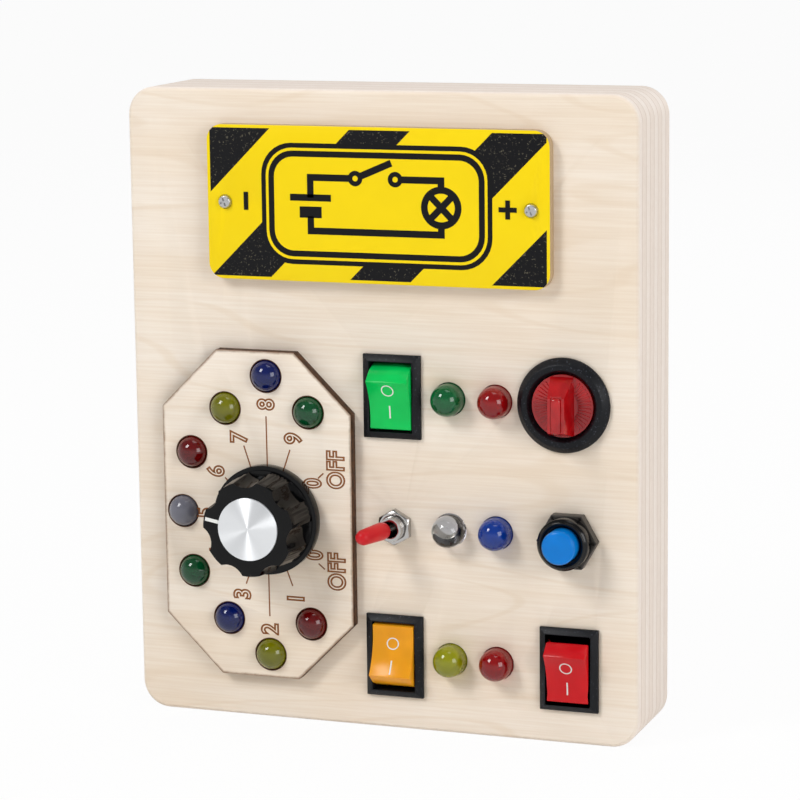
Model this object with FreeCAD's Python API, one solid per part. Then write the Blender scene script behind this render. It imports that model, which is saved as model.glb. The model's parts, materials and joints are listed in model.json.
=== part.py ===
"""A wooden busy board: a hollow plywood box with switches, lamps, a selector dial and a battery box.

Everything is drawn in the board's face frame, in millimetres: x to the right, y up from the edge
that the board stands on, z out of the front face, which lies at z = 0. The last step stands each
piece up in the part's own frame: +X right, +Z up, the front facing -Y, and the origin at the
centre of the edge that the board stands on.
"""

import FreeCAD, Part

import os
from math import cos, pi, radians, sin, sqrt, tan

V = FreeCAD.Vector

# Plywood box
board_depth = 28.0
corner_radius = 7.0
edge_ease = 0.8
front_wall = 3.0
side_wall = 7.0
pocket_corner = 10.0
cover_thickness = 3.0
cover_ledge = 3.0
cover_corner = 5.0
cover_gap = 0.2
cover_screw_inset = 8.2
cover_screw_length = 11.0
cover_screw_radius = 1.25
cover_screw_head = 2.7
cover_screw_head_depth = 1.5
screw_clearance = 0.05

# Octagonal dial plate
dial_width = 51.0
dial_height = 83.8
dial_chamfer = 15.0
dial_thickness = 3.0
dial_centre_x = -32.1
dial_centre_y = 53.3

# Sign plate
sign_width = 89.0
sign_height = 38.5
sign_corner = 4.0
sign_thickness = 3.0
sign_centre_x = 0.7
sign_centre_y = 132.5
sign_screw_spacing = 79.6
sign_screw_radius = 1.0
sign_screw_head = 1.9
sign_screw_head_height = 0.9
sign_screw_length = 9.0

# Places on the front face
lamp_ring_x = -29.2
lamp_ring_y = 53.2
selector_x = -28.9
selector_y = 52.8
switch_column = 3.5
toggle_x = 3.9
near_lamp_column = 18.2
far_lamp_column = 30.3
rotary_x = 47.7
button_x = 49.0
button_drop = 0.5
red_rocker_x = 49.0
right_margin = 17.5
sign_margin = 8.65
top_row = 85.0
middle_row = 52.1
bottom_row = 19.0

# Indicator lamps
lamp_radius = 4.0
lamp_length = 11.0
lamp_flange_radius = 4.7
lamp_flange = 1.6
lamp_flats = 14
small_flats = 12
lamp_clearance = 0.2
lead_width = 0.5
lead_spacing = 2.5
lead_length = 5.0
dial_lamps = {
    "1": (11.2, -27.1),
    "2": (0.0, -35.8),
    "3": (-11.2, -27.1),
    "4": (-20.6, -15.4),
    "5": (-23.3, 0.0),
    "6": (-20.6, 15.4),
    "7": (-11.2, 27.1),
    "8": (0.0, 35.8),
    "9": (11.2, 27.1),
}

# Rocker switches
bezel_width = 15.0
bezel_height = 21.0
bezel_thickness = 2.0
bezel_edge = 0.9
bezel_mitre = 1.5
housing_side_wall = 0.85
housing_end_wall = 0.65
housing_inset = 1.05
housing_depth = 13.0
housing_floor = 1.5
cutout_gap = 0.15
latch_width = 6.0
latch_rise = 0.5
latch_length = 3.5
latch_gap = 0.1
rocker_side_gap = 0.25
rocker_pivot_depth = 3.1
rocker_half_length = 6.35
rocker_face_height = 7.1
rocker_shoulder_gap = 0.8
rocker_shoulder_height = 3.9
rocker_heel_gap = 0.3
rocker_heel_height = 0.8
rocker_tuck = 0.2
rocker_dish = 1.2
rocker_swing = 29.6
rocker_stem_width = 4.0
rocker_stem_depth = 5.0
rocker_skirt = 1.2
stud_radius = 1.2
stud_clearance = 0.05
stud_inset = 0.2
tab_width = 4.8
tab_thickness = 0.8
tab_length = 7.0
tab_spacing = 10.0

# Toggle switch
toggle_length = 13.2
toggle_width = 7.9
toggle_depth = 9.0
toggle_wall = 1.0
toggle_plate = 0.6
bushing_radius = 3.0
bushing_proud = 4.6
bushing_bore = 2.05
toggle_nut_flats = 8.0
toggle_nut_height = 2.0
toggle_lean = 13.0
lever_radius = 0.9
lever_ball = 1.7
lever_tail = 9.0
lever_flats = 20
lever_length = 15.2
sleeve_start = 5.4
sleeve_length = 11.1
sleeve_radius = 2.25
sleeve_tip_radius = 1.95
sleeve_nose = 1.6
toggle_tab_width = 2.0
toggle_tab_length = 4.5
toggle_tab_spacing = 4.7

# Push button
barrel_radius = 6.45
barrel_length = 4.0
barrel_bevel = 0.7
neck_radius = 5.8
neck_depth = 13.0
button_nut_flats = 13.3
button_nut_height = 2.8
button_cap_radius = 4.2
button_cap_proud = 3.4
button_cap_bevel = 0.5
button_guide_clearance = 0.07
button_recess_radius = 5.0
button_recess_depth = 1.2
button_travel = 2.5
button_plunger_depth = 3.0
button_floor = 2.0
spring_radius = 3.4
spring_wire = 0.6
spring_end_gap = 0.1
button_tab_spacing = 6.0
button_tab_length = 6.0
button_tab_width = 2.8

# Round rotary switch
ring_radius = 11.75
ring_height = 2.4
ring_edge = 0.8
ring_crown = 1.6
rotary_barrel_radius = 9.9
rotary_barrel_depth = 12.0
rotary_well_radius = 8.0
rotary_well_depth = 3.0
rotary_knob_gap = 0.25
rotary_floor_gap = 0.2
rotary_disc_proud = 1.4
grip_proud = 7.0
grip_base_width = 6.4
grip_top_width = 4.2
grip_end_slope = 4.4
grip_groove_width = 2.6
grip_groove_depth = 0.5
rotary_shaft_radius = 2.0
rotary_shaft_length = 6.0
running_clearance = 0.05
rotary_tab_spacing = 10.0
rotary_tab_length = 6.0

# Selector switch and knob
selector_body_radius = 13.0
selector_body_depth = 9.5
selector_bushing_radius = 4.5
selector_bushing_proud = 2.8
selector_nut_flats = 12.0
selector_nut_height = 2.0
selector_shaft_radius = 3.0
selector_shaft_tail = 7.0
selector_pin_circle = 10.0
selector_pins = 12
selector_pin_width = 1.2
selector_pin_length = 5.0
knob_gap = 0.6
knob_height = 13.6
knob_skirt_radius = 13.9
knob_skirt_height = 2.6
knob_shoulder_radius = 12.9
knob_top_radius = 12.0
knob_flutes = 7
flute_radius = 4.6
flute_depth = 1.5
flute_floor = 3.4
knob_recess_radius = 8.6
knob_recess_depth = 3.6
knob_bore_depth = 11.0
pointer_turn = 10.0
pointer_width = 0.9
pointer_depth = 0.5
disc_radius = 7.9
disc_thickness = 0.9
disc_sunk = 0.6
disc_gap = 0.1
set_screw_radius = 1.5
set_screw_length = 5.0
set_screw_height = 7.6

# Battery box
battery_margin = 34.4
cell_radius = 7.1
cell_length = 49.0
cell_nub_radius = 2.7
cell_nub = 1.1
cell_flats = 24
cell_gap = 0.5
tray_wall = 1.3
tray_rim = 4.0
tray_rim_thickness = 1.5
door_end = 8.5
door_margin = 3.2
door_thickness = 2.6
door_gap = 0.3
door_screw_offset = 4.3
door_screw_radius = 1.25
door_screw_head = 2.3
door_screw_head_depth = 1.0
door_screw_length = 8.0
boss_radius = 2.9
boss_length = 8.0
contact_thickness = 0.5
contact_size = 10.0
contact_bump = 0.6
spring_reach = 5.3

# Places that follow from the sizes above
board_width = 2 * (red_rocker_x + right_margin)
board_height = sign_centre_y + sign_height / 2 + sign_margin
button_y = middle_row - button_drop
cover_front = cover_thickness - board_depth
pocket_width = board_width - 2 * side_wall
pocket_height = board_height - 2 * side_wall
cover_width = pocket_width + 2 * cover_ledge
cover_height = pocket_height + 2 * cover_ledge
lamp_hole = lamp_radius + lamp_clearance
lamp_body = lamp_length - lamp_flange
housing_width = bezel_width - 2 * housing_inset
housing_height = bezel_height - 2 * housing_inset
well_width = housing_width - 2 * housing_side_wall
well_height = housing_height - 2 * housing_end_wall
rocker_width = well_width - 2 * rocker_side_gap
button_front = button_nut_height + barrel_length
cell_pitch = 2 * cell_radius + cell_gap
battery_centre_y = board_height - battery_margin
tray_length = cell_length + cell_nub + 2 * contact_thickness + contact_bump + spring_reach
door_length = tray_length + 2 * door_end
door_screw_spacing = tray_length + 2 * door_screw_offset
tray_width = 2 * cell_pitch + cell_gap
tray_depth = 2 * cell_radius + 2 * cell_gap
door_width = tray_width + 2 * door_margin


# Drawing helpers, all in the face frame


def block(x0, x1, y0, y1, z0, z1):
    """A box between two corners."""
    return Part.makeBox(x1 - x0, y1 - y0, z1 - z0, V(x0, y0, z0))


def bar(width, height, z0, z1, x=0.0, y=0.0):
    """A box centred on x and y."""
    return block(x - width / 2, x + width / 2, y - height / 2, y + height / 2, z0, z1)


def rod(radius, z0, z1, x=0.0, y=0.0):
    """A round rod that points out of the face."""
    return Part.makeCylinder(radius, z1 - z0, V(x, y, z0))


def polygon(points, z0, z1):
    """A prism on a straight-sided outline."""
    outline = Part.makePolygon([V(x, y, z0) for x, y in points + points[:1]])
    return Part.Face(outline).extrude(V(0, 0, z1 - z0))


def hexagon(across_flats, z0, z1):
    """A hexagonal prism with flats at the top and bottom."""
    reach = across_flats / sqrt(3)
    points = [(reach * cos(k * pi / 3), reach * sin(k * pi / 3)) for k in range(6)]
    return polygon(points, z0, z1)


def rounded_slab(width, height, radius, z0, z1, x=0.0, y=0.0):
    """A slab with rounded corners, centred on x and y."""
    right = width / 2 - radius
    top = height / 2 - radius
    diagonal = radius * sqrt(0.5)
    edges = []
    for k, (cx, cy) in enumerate([(right, top), (-right, top), (-right, -top), (right, -top)]):
        start = k * pi / 2
        centre = V(x + cx, y + cy, z0)
        points = [centre + V(radius * cos(start + a), radius * sin(start + a), 0) for a in (0, pi / 4, pi / 2)]
        edges.append(Part.Arc(*points).toShape())
    sides = []
    for k in range(4):
        first = edges[k].Vertexes[-1].Point
        second = edges[(k + 1) % 4].Vertexes[0].Point
        sides.append(Part.LineSegment(first, second).toShape())
    loop = [edge for pair in zip(edges, sides) for edge in pair]
    return Part.Face(Part.Wire(loop)).extrude(V(0, 0, z1 - z0))


def turned(profile):
    """A solid turned about the z axis from a closed outline of (radius, z) points."""
    outline = Part.makePolygon([V(r, 0, z) for r, z in profile + profile[:1]])
    return Part.Face(outline).revolve(V(0, 0, 0), V(0, 0, 1), 360)


def turned_with_flats(profile, flats):
    """A turned solid drawn with flats round it, from open (radius, z) points, back to front."""
    rings = []
    for radius, z in profile:
        angles = [2 * pi * (k + 0.5) / flats for k in range(flats)]
        rings.append([V(radius * cos(a), radius * sin(a), z) for a in angles])
    faces = [Part.Face(Part.makePolygon(ring + ring[:1])) for ring in (rings[0], rings[-1])]
    for low, high in zip(rings, rings[1:]):
        for k in range(flats):
            n = (k + 1) % flats
            faces.append(Part.Face(Part.makePolygon([low[k], low[n], high[n], high[k], low[k]])))
    shell = Part.makeShell(faces)
    shell.sewShape()
    solid = Part.makeSolid(shell)
    if solid.Volume < 0:
        solid.reverse()
    return solid


def at(shape, x, y):
    """A copy of a shape moved across the face."""
    copy = shape.copy()
    copy.translate(V(x, y, 0))
    return copy


def cut(shape, *tools):
    """A shape with others cut out of it."""
    return shape.cut(Part.makeCompound(list(tools)))


def fuse(*shapes):
    """One clean solid from touching shapes."""
    return shapes[0].fuse(list(shapes[1:])).removeSplitter()


def countersunk_screw(radius, head_radius, head_depth, z_head, z_tip):
    """A screw with its flat head at z_head, behind, and its pointed tip at z_tip."""
    profile = [
        (head_radius, z_head),
        (radius, z_head + head_depth),
        (radius, z_tip - radius),
        (0.3 * radius, z_tip),
    ]
    return turned_with_flats(profile, small_flats)


def countersunk_hole(radius, head_radius, head_depth, z_head, z_end):
    """The through hole for such a screw, with its clearance."""
    wide = head_radius + screw_clearance
    narrow = radius + screw_clearance
    return turned([(0, z_head), (wide, z_head), (narrow, z_head + head_depth), (narrow, z_end), (0, z_end)])


def save(name, shape):
    """Stand a piece up in the part's own frame and write it."""
    piece = shape.copy()
    piece.rotate(V(0, 0, 0), V(1, 0, 0), 90)
    piece.translate(V(0, -board_depth / 2, 0))
    piece.exportStep("parts/" + name + ".step")


# Plywood box, cover and plates


def cover_screw_places():
    side = board_width / 2 - cover_screw_inset
    low = cover_screw_inset
    high = board_height - cover_screw_inset
    return [(-side, low), (side, low), (-side, high), (side, high)]


def sign_screw_places():
    half = sign_screw_spacing / 2
    return [(sign_centre_x - half, sign_centre_y), (sign_centre_x + half, sign_centre_y)]


def dial_lamp_places():
    return {name: (lamp_ring_x + dx, lamp_ring_y + dy) for name, (dx, dy) in dial_lamps.items()}


def panel_lamp_places():
    return {
        "green_led": (near_lamp_column, top_row),
        "red_led": (far_lamp_column, top_row),
        "clear_led": (near_lamp_column, middle_row),
        "blue_led": (far_lamp_column, middle_row),
        "yellow_led": (near_lamp_column, bottom_row),
        "lower_red_led": (far_lamp_column, bottom_row),
    }


def rocker_places():
    return {
        "green": (switch_column, top_row),
        "orange": (switch_column, bottom_row),
        "red": (red_rocker_x, bottom_row),
    }


def wooden_body():
    middle = board_height / 2
    body = rounded_slab(board_width, board_height, corner_radius, -board_depth, 0, y=middle)
    rim = [e for e in body.Edges if e.BoundBox.ZLength < 1e-6]
    body = body.makeChamfer(edge_ease, rim)
    pocket = rounded_slab(pocket_width, pocket_height, pocket_corner, cover_front, -front_wall, y=middle)
    rebate_width = cover_width + 2 * cover_gap
    rebate_height = cover_height + 2 * cover_gap
    rebate = rounded_slab(rebate_width, rebate_height, cover_corner + cover_gap, -board_depth, cover_front, y=middle)
    holes = [pocket, rebate]
    for x, y in dial_lamp_places().values():
        holes.append(rod(lamp_hole, -front_wall, 0, x, y))
    for x, y in panel_lamp_places().values():
        holes.append(rod(lamp_hole, -front_wall, 0, x, y))
    for x, y in rocker_places().values():
        holes.append(bar(housing_width + 2 * cutout_gap, housing_height + 2 * cutout_gap, -front_wall, 0, x, y))
    holes.append(rod(selector_bushing_radius + screw_clearance, -front_wall, 0, selector_x, selector_y))
    holes.append(rod(bushing_radius + screw_clearance, -front_wall, 0, toggle_x, middle_row))
    holes.append(rod(neck_radius + screw_clearance, -front_wall, 0, button_x, button_y))
    holes.append(rod(rotary_barrel_radius + screw_clearance, -front_wall, 0, rotary_x, top_row))
    for x, y in sign_screw_places():
        holes.append(rod(sign_screw_radius + screw_clearance, -front_wall, 0, x, y))
    for x, y in cover_screw_places():
        reach = cover_screw_length - board_depth
        holes.append(rod(cover_screw_radius + screw_clearance, cover_front, reach, x, y))
    return cut(body, *holes)


def back_cover():
    middle = board_height / 2
    cover = rounded_slab(cover_width, cover_height, cover_corner, -board_depth, cover_front, y=middle)
    hole = countersunk_hole(
        cover_screw_radius, cover_screw_head, cover_screw_head_depth, -board_depth, cover_front
    )
    holes = [at(hole, x, y) for x, y in cover_screw_places()]
    opening_length = door_length + 2 * door_gap
    opening_width = door_width + 2 * door_gap
    holes.append(bar(opening_length, opening_width, -board_depth, cover_front, y=battery_centre_y))
    return cut(cover, *holes)


def cover_screws():
    tip = cover_screw_length - board_depth
    screw = countersunk_screw(cover_screw_radius, cover_screw_head, cover_screw_head_depth, -board_depth, tip)
    return Part.makeCompound([at(screw, x, y) for x, y in cover_screw_places()])


def dial_plate():
    half_width = dial_width / 2
    half_height = dial_height / 2
    outline = []
    for sx, sy in ((1, 1), (-1, 1), (-1, -1), (1, -1)):
        side = (sx * half_width, sy * (half_height - dial_chamfer))
        top = (sx * (half_width - dial_chamfer), sy * half_height)
        outline += [side, top] if sx == sy else [top, side]
    plate = at(polygon(outline, 0, dial_thickness), dial_centre_x, dial_centre_y)
    holes = [rod(lamp_hole, 0, dial_thickness, x, y) for x, y in dial_lamp_places().values()]
    holes.append(rod(selector_bushing_radius + screw_clearance, 0, dial_thickness, selector_x, selector_y))
    return cut(plate, *holes)


def sign_plate():
    plate = rounded_slab(sign_width, sign_height, sign_corner, 0, sign_thickness, sign_centre_x, sign_centre_y)
    holes = [rod(sign_screw_radius + screw_clearance, 0, sign_thickness, x, y) for x, y in sign_screw_places()]
    return cut(plate, *holes)


def sign_screws():
    head_top = sign_thickness + sign_screw_head_height
    tip = sign_thickness - sign_screw_length
    profile = [
        (0.3 * sign_screw_radius, tip),
        (sign_screw_radius, tip + sign_screw_radius),
        (sign_screw_radius, sign_thickness),
        (sign_screw_head, sign_thickness),
        (0.75 * sign_screw_head, head_top),
    ]
    screw = turned_with_flats(profile, small_flats)
    return Part.makeCompound([at(screw, x, y) for x, y in sign_screw_places()])


# Indicator lamps


def lamp(seat):
    """A lamp lens with its flange pressed against seat; its dome is a half ball in flat bands."""
    tip = seat + lamp_body
    dome = tip - lamp_radius
    profile = [
        (lamp_flange_radius, seat - lamp_flange),
        (lamp_flange_radius, seat),
        (lamp_radius, seat),
        (lamp_radius, dome),
    ]
    for angle in (34, 68):
        profile.append((lamp_radius * cos(radians(angle)), dome + lamp_radius * sin(radians(angle))))
    return turned_with_flats(profile, lamp_flats)


def lamp_leads(seat):
    back = seat - lamp_flange
    pair = []
    for side in (-1, 1):
        pair.append(bar(lead_width, lead_width, back - lead_length, back, x=side * lead_spacing / 2))
    return pair


# Rocker switches


def cross_pin(radius, length, z):
    """A pin, or the hole for one, that runs across the switch at height z."""
    pin = turned_with_flats([(radius, -length / 2), (radius, length / 2)], small_flats)
    pin.rotate(V(0, 0, 0), V(0, 1, 0), 90)
    pin.translate(V(0, 0, z))
    return pin


def rocker_housing():
    half_width = bezel_width / 2
    half_height = bezel_height / 2
    base = bar(bezel_width, bezel_height, 0, bezel_edge)
    rings = []
    for inset, z in ((0, bezel_edge), (bezel_mitre, bezel_thickness)):
        x = half_width - inset
        y = half_height - inset
        corners = [V(x, y, z), V(-x, y, z), V(-x, -y, z), V(x, -y, z), V(x, y, z)]
        rings.append(Part.makePolygon(corners))
    crown = Part.makeLoft(rings, True, True)
    body = bar(housing_width, housing_height, -housing_depth, 0)
    latches = []
    top = -front_wall - latch_gap
    for side in (-1, 1):
        edge = side * housing_height / 2
        points = [V(0, edge, top), V(0, edge + side * latch_rise, top), V(0, edge, top - latch_length)]
        wedge = Part.Face(Part.makePolygon(points + points[:1])).extrude(V(latch_width, 0, 0))
        wedge.translate(V(-latch_width / 2, 0, 0))
        latches.append(wedge)
    shell = fuse(base, crown, body, *latches)
    well = bar(well_width, well_height, housing_floor - housing_depth, bezel_thickness)
    return cut(shell, well, cross_pin(stud_radius + stud_clearance, housing_width, -rocker_pivot_depth))


def rocker(lean):
    """A rocker turned to its rest: lean is the turn about its pivot, positive with the top raised."""
    shoulder = well_height / 2 - rocker_shoulder_gap
    heel = well_height / 2 - rocker_heel_gap
    stem = rocker_stem_width / 2
    corners = [
        (rocker_half_length, rocker_face_height),
        (shoulder, rocker_shoulder_height),
        (heel, rocker_heel_height),
        (heel - rocker_tuck, -rocker_skirt),
        (stem, -rocker_skirt),
        (stem / 2, -rocker_skirt - rocker_stem_depth),
    ]
    outline = corners + [(-y, z) for y, z in reversed(corners)]
    points = [V(0, y, z) for y, z in outline]
    edges = [Part.LineSegment(a, b).toShape() for a, b in zip(points, points[1:])]
    dish = V(0, 0, rocker_face_height - rocker_dish)
    edges.append(Part.Arc(points[-1], dish, points[0]).toShape())
    body = Part.Face(Part.Wire(edges)).extrude(V(rocker_width, 0, 0))
    body.translate(V(-rocker_width / 2, 0, 0))
    piece = fuse(body, cross_pin(stud_radius, housing_width - 2 * stud_inset, 0))
    piece.rotate(V(0, 0, 0), V(1, 0, 0), lean)
    piece.translate(V(0, 0, -rocker_pivot_depth))
    return piece


def rocker_terminals():
    tabs = []
    for x, y in rocker_places().values():
        for side in (-1, 1):
            place = y + side * tab_spacing / 2
            tabs.append(bar(tab_width, tab_thickness, -housing_depth - tab_length, -housing_depth, x, place))
    return Part.makeCompound(tabs)


# Toggle switch


def toggle_body():
    front = -front_wall - toggle_plate
    back = front - toggle_depth
    case = bar(toggle_length, toggle_width, back, front)
    cavity = bar(toggle_length - 2 * toggle_wall, toggle_width - 2 * toggle_wall, back + toggle_wall, front)
    return cut(case, cavity)


def toggle_bushing():
    back = -front_wall - toggle_plate
    plate = bar(toggle_length, toggle_width, back, -front_wall)
    tube = rod(bushing_radius, back, bushing_proud)
    return cut(fuse(plate, tube), rod(bushing_bore, back, bushing_proud))


def toggle_nut():
    nut = hexagon(toggle_nut_flats, 0, toggle_nut_height)
    nut.rotate(V(0, 0, 0), V(0, 0, 1), 30)
    reach = toggle_nut_flats / sqrt(3)
    drop = 0.3 * toggle_nut_height
    bevel = turned(
        [
            (0, 0),
            (reach, 0),
            (reach, toggle_nut_height - drop),
            (0.95 * toggle_nut_flats / 2, toggle_nut_height),
            (0, toggle_nut_height),
        ]
    )
    return nut.common(bevel).cut(rod(bushing_radius + screw_clearance, 0, toggle_nut_height))


def leaned(shape):
    """Tip a lever piece to the left about the toggle's pivot, in the middle of the bushing."""
    shape.rotate(V(0, 0, 0), V(0, 1, 0), -toggle_lean)
    return shape


def toggle_lever():
    profile = [
        (0.7 * lever_radius, -lever_tail),
        (lever_radius, -lever_ball),
        (lever_ball, -0.3 * lever_ball),
        (lever_ball, 0.3 * lever_ball),
        (lever_radius, lever_ball),
        (lever_radius, lever_length),
    ]
    return leaned(turned_with_flats(profile, lever_flats))


def toggle_sleeve():
    tip = sleeve_start + sleeve_length
    shoulder = tip - sleeve_nose
    profile = [
        (0.9 * sleeve_radius, sleeve_start),
        (sleeve_radius, sleeve_start + 1.5),
        (sleeve_tip_radius, shoulder),
        (0.8 * sleeve_tip_radius, shoulder + 0.62 * sleeve_nose),
        (0.35 * sleeve_tip_radius, tip),
    ]
    bore = turned_with_flats([(lever_radius, sleeve_start), (lever_radius, lever_length)], lever_flats)
    return leaned(cut(turned_with_flats(profile, lever_flats), bore))


def toggle_terminals():
    front = -front_wall - toggle_plate - toggle_depth
    tabs = []
    for k in (-1, 0, 1):
        place = toggle_x + k * toggle_tab_spacing
        tabs.append(bar(tab_thickness, toggle_tab_width, front - toggle_tab_length, front, place, middle_row))
    return Part.makeCompound(tabs)


# Push button


def button_housing():
    bore = button_cap_radius + button_guide_clearance
    recess_floor = button_front - button_recess_depth
    floor = button_floor - neck_depth
    return turned(
        [
            (0, -neck_depth),
            (neck_radius, -neck_depth),
            (neck_radius, button_nut_height),
            (barrel_radius, button_nut_height),
            (barrel_radius, button_front - barrel_bevel),
            (barrel_radius - barrel_bevel, button_front),
            (button_recess_radius, button_front),
            (button_recess_radius, recess_floor),
            (bore, recess_floor),
            (bore, floor),
            (0, floor),
        ]
    )


def button_nuts():
    nuts = []
    for z in (0, -front_wall - button_nut_height):
        nut = hexagon(button_nut_flats, z, z + button_nut_height)
        nuts.append(nut.cut(rod(neck_radius + screw_clearance, z, z + button_nut_height)))
    return Part.makeCompound(nuts)


def button_cap():
    front = button_front + button_cap_proud
    return turned(
        [
            (0, -button_plunger_depth),
            (button_cap_radius, -button_plunger_depth),
            (button_cap_radius, front - button_cap_bevel),
            (button_cap_radius - button_cap_bevel, front),
            (0, front),
        ]
    )


def button_spring():
    back = button_floor - neck_depth + spring_end_gap
    front = -button_plunger_depth - spring_end_gap
    inside = spring_radius - spring_wire
    outer = turned_with_flats([(spring_radius, back), (spring_radius, front)], small_flats)
    return outer.cut(turned_with_flats([(inside, back), (inside, front)], small_flats))


def button_terminals():
    tabs = []
    for side in (-1, 1):
        y = button_y + side * button_tab_spacing / 2
        tabs.append(bar(button_tab_width, tab_thickness, -neck_depth - button_tab_length, -neck_depth, button_x, y))
    return Part.makeCompound(tabs)


# Round rotary switch


def rotary_housing():
    return turned(
        [
            (0, -rotary_barrel_depth),
            (rotary_barrel_radius, -rotary_barrel_depth),
            (rotary_barrel_radius, 0),
            (ring_radius, 0),
            (ring_radius, ring_edge),
            (ring_radius - ring_crown, ring_height),
            (rotary_well_radius + 0.5 * ring_crown, ring_height),
            (rotary_well_radius, ring_edge),
            (rotary_well_radius, -rotary_well_depth),
            (rotary_shaft_radius + running_clearance, -rotary_well_depth),
            (rotary_shaft_radius + running_clearance, -rotary_well_depth - rotary_shaft_length - running_clearance),
            (0, -rotary_well_depth - rotary_shaft_length - running_clearance),
        ]
    )


def rotary_knob():
    radius = rotary_well_radius - rotary_knob_gap
    back = rotary_floor_gap - rotary_well_depth
    disc = turned(
        [
            (0, back - rotary_shaft_length),
            (rotary_shaft_radius, back - rotary_shaft_length),
            (rotary_shaft_radius, back),
            (radius, back),
            (radius, rotary_disc_proud),
            (0, rotary_disc_proud),
        ]
    )
    end = radius - 0.6
    flank = Part.makePolygon(
        [
            V(0, -end, 0),
            V(0, -end, rotary_disc_proud + 1.0),
            V(0, 1.4 - end, grip_proud),
            V(0, end - grip_end_slope, grip_proud),
            V(0, end, rotary_disc_proud + 0.4),
            V(0, end, 0),
            V(0, -end, 0),
        ]
    )
    side_view = Part.Face(flank).extrude(V(grip_base_width, 0, 0))
    side_view.translate(V(-grip_base_width / 2, 0, 0))
    base = grip_base_width / 2
    top = grip_top_width / 2
    section = Part.makePolygon(
        [V(-base, -end, 0), V(base, -end, 0), V(top, -end, grip_proud), V(-top, -end, grip_proud), V(-base, -end, 0)]
    )
    end_view = Part.Face(section).extrude(V(0, 2 * end, 0))
    grip = side_view.common(end_view)
    half_groove = grip_groove_width / 2
    groove = block(-half_groove, half_groove, -end, end, grip_proud - grip_groove_depth, grip_proud)
    return cut(fuse(disc, grip), groove)


def rotary_terminals():
    tabs = []
    for side in (-1, 1):
        y = top_row + side * rotary_tab_spacing / 2
        back = -rotary_barrel_depth
        tabs.append(bar(tab_width, tab_thickness, back - rotary_tab_length, back, rotary_x, y))
    return Part.makeCompound(tabs)


# Selector switch and its knob


def selector_switch():
    back = -front_wall - selector_body_depth
    front = dial_thickness + selector_bushing_proud
    bore = selector_shaft_radius + running_clearance
    floor = -front_wall - selector_shaft_tail - running_clearance
    return turned(
        [
            (0, back),
            (selector_body_radius, back),
            (selector_body_radius, -front_wall),
            (selector_bushing_radius, -front_wall),
            (selector_bushing_radius, front),
            (bore, front),
            (bore, floor),
            (0, floor),
        ]
    )


def selector_terminals():
    back = -front_wall - selector_body_depth
    pins = [bar(selector_pin_width, selector_pin_width, back - selector_pin_length, back)]
    for k in range(selector_pins):
        angle = 2 * pi * (k + 0.5) / selector_pins
        x = selector_pin_circle * cos(angle)
        y = selector_pin_circle * sin(angle)
        pins.append(bar(selector_pin_width, selector_pin_width, back - selector_pin_length, back, x, y))
    return Part.makeCompound(pins)


def selector_nut():
    nut = hexagon(selector_nut_flats, dial_thickness, dial_thickness + selector_nut_height)
    hole = rod(selector_bushing_radius + screw_clearance, dial_thickness, dial_thickness + selector_nut_height)
    return nut.cut(hole)


def selector_shaft():
    knob_back = dial_thickness + knob_gap
    return rod(selector_shaft_radius, -front_wall - selector_shaft_tail, knob_back + knob_bore_depth)


def selector_knob():
    back = dial_thickness + knob_gap
    front = back + knob_height
    disc_floor = front - disc_sunk
    body = turned(
        [
            (0, back),
            (knob_skirt_radius, back),
            (knob_skirt_radius, back + knob_skirt_height),
            (knob_shoulder_radius, back + knob_skirt_height),
            (knob_top_radius, front),
            (disc_radius + disc_gap, front),
            (disc_radius + disc_gap, disc_floor),
            (0, disc_floor),
        ]
    )
    slope = (knob_shoulder_radius - knob_top_radius) / (knob_height - knob_skirt_height)
    flute_length = knob_height - flute_floor
    axis_low = knob_top_radius + slope * flute_length - flute_depth + flute_radius
    tools = [
        rod(knob_recess_radius, back, back + knob_recess_depth),
        rod(selector_shaft_radius, back, back + knob_bore_depth),
    ]
    for k in range(knob_flutes):
        flute = Part.makeCylinder(
            flute_radius, flute_length + 2.0, V(-axis_low, 0, back + flute_floor), V(slope, 0, 1)
        )
        flute.rotate(V(0, 0, 0), V(0, 0, 1), 360 * (k + 0.5) / knob_flutes)
        tools.append(flute)
    slot = block(
        -knob_top_radius,
        -disc_radius,
        -pointer_width / 2,
        pointer_width / 2,
        front - pointer_depth,
        front,
    )
    tools.append(slot)
    screw_hole = Part.makeCylinder(
        set_screw_radius, knob_shoulder_radius, V(0, 0, back + set_screw_height), V(-1, 0, 0)
    )
    tools.append(screw_hole)
    return cut(body, *tools)


def selector_cap():
    front = dial_thickness + knob_gap + knob_height
    floor = front - disc_sunk
    return turned(
        [
            (0, floor),
            (disc_radius, floor),
            (disc_radius, floor + disc_thickness),
            (0, floor + disc_thickness),
        ]
    )


def selector_pointer():
    front = dial_thickness + knob_gap + knob_height
    half = pointer_width / 2
    return block(0.4 - knob_top_radius, -disc_radius - disc_gap, -half, half, front - pointer_depth, front)


def selector_set_screw():
    z = dial_thickness + knob_gap + set_screw_height
    return Part.makeCylinder(
        set_screw_radius - screw_clearance, set_screw_length, V(-selector_shaft_radius, 0, z), V(-1, 0, 0)
    )


def on_selector(shape):
    """Turn a knob piece by the pointer's offset, clockwise seen from the front, and place it."""
    shape.rotate(V(0, 0, 0), V(0, 0, 1), -pointer_turn)
    return at(shape, selector_x, selector_y)


# Battery box


def door_screw_places():
    return [(side * door_screw_spacing / 2, battery_centre_y) for side in (-1, 1)]


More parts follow.
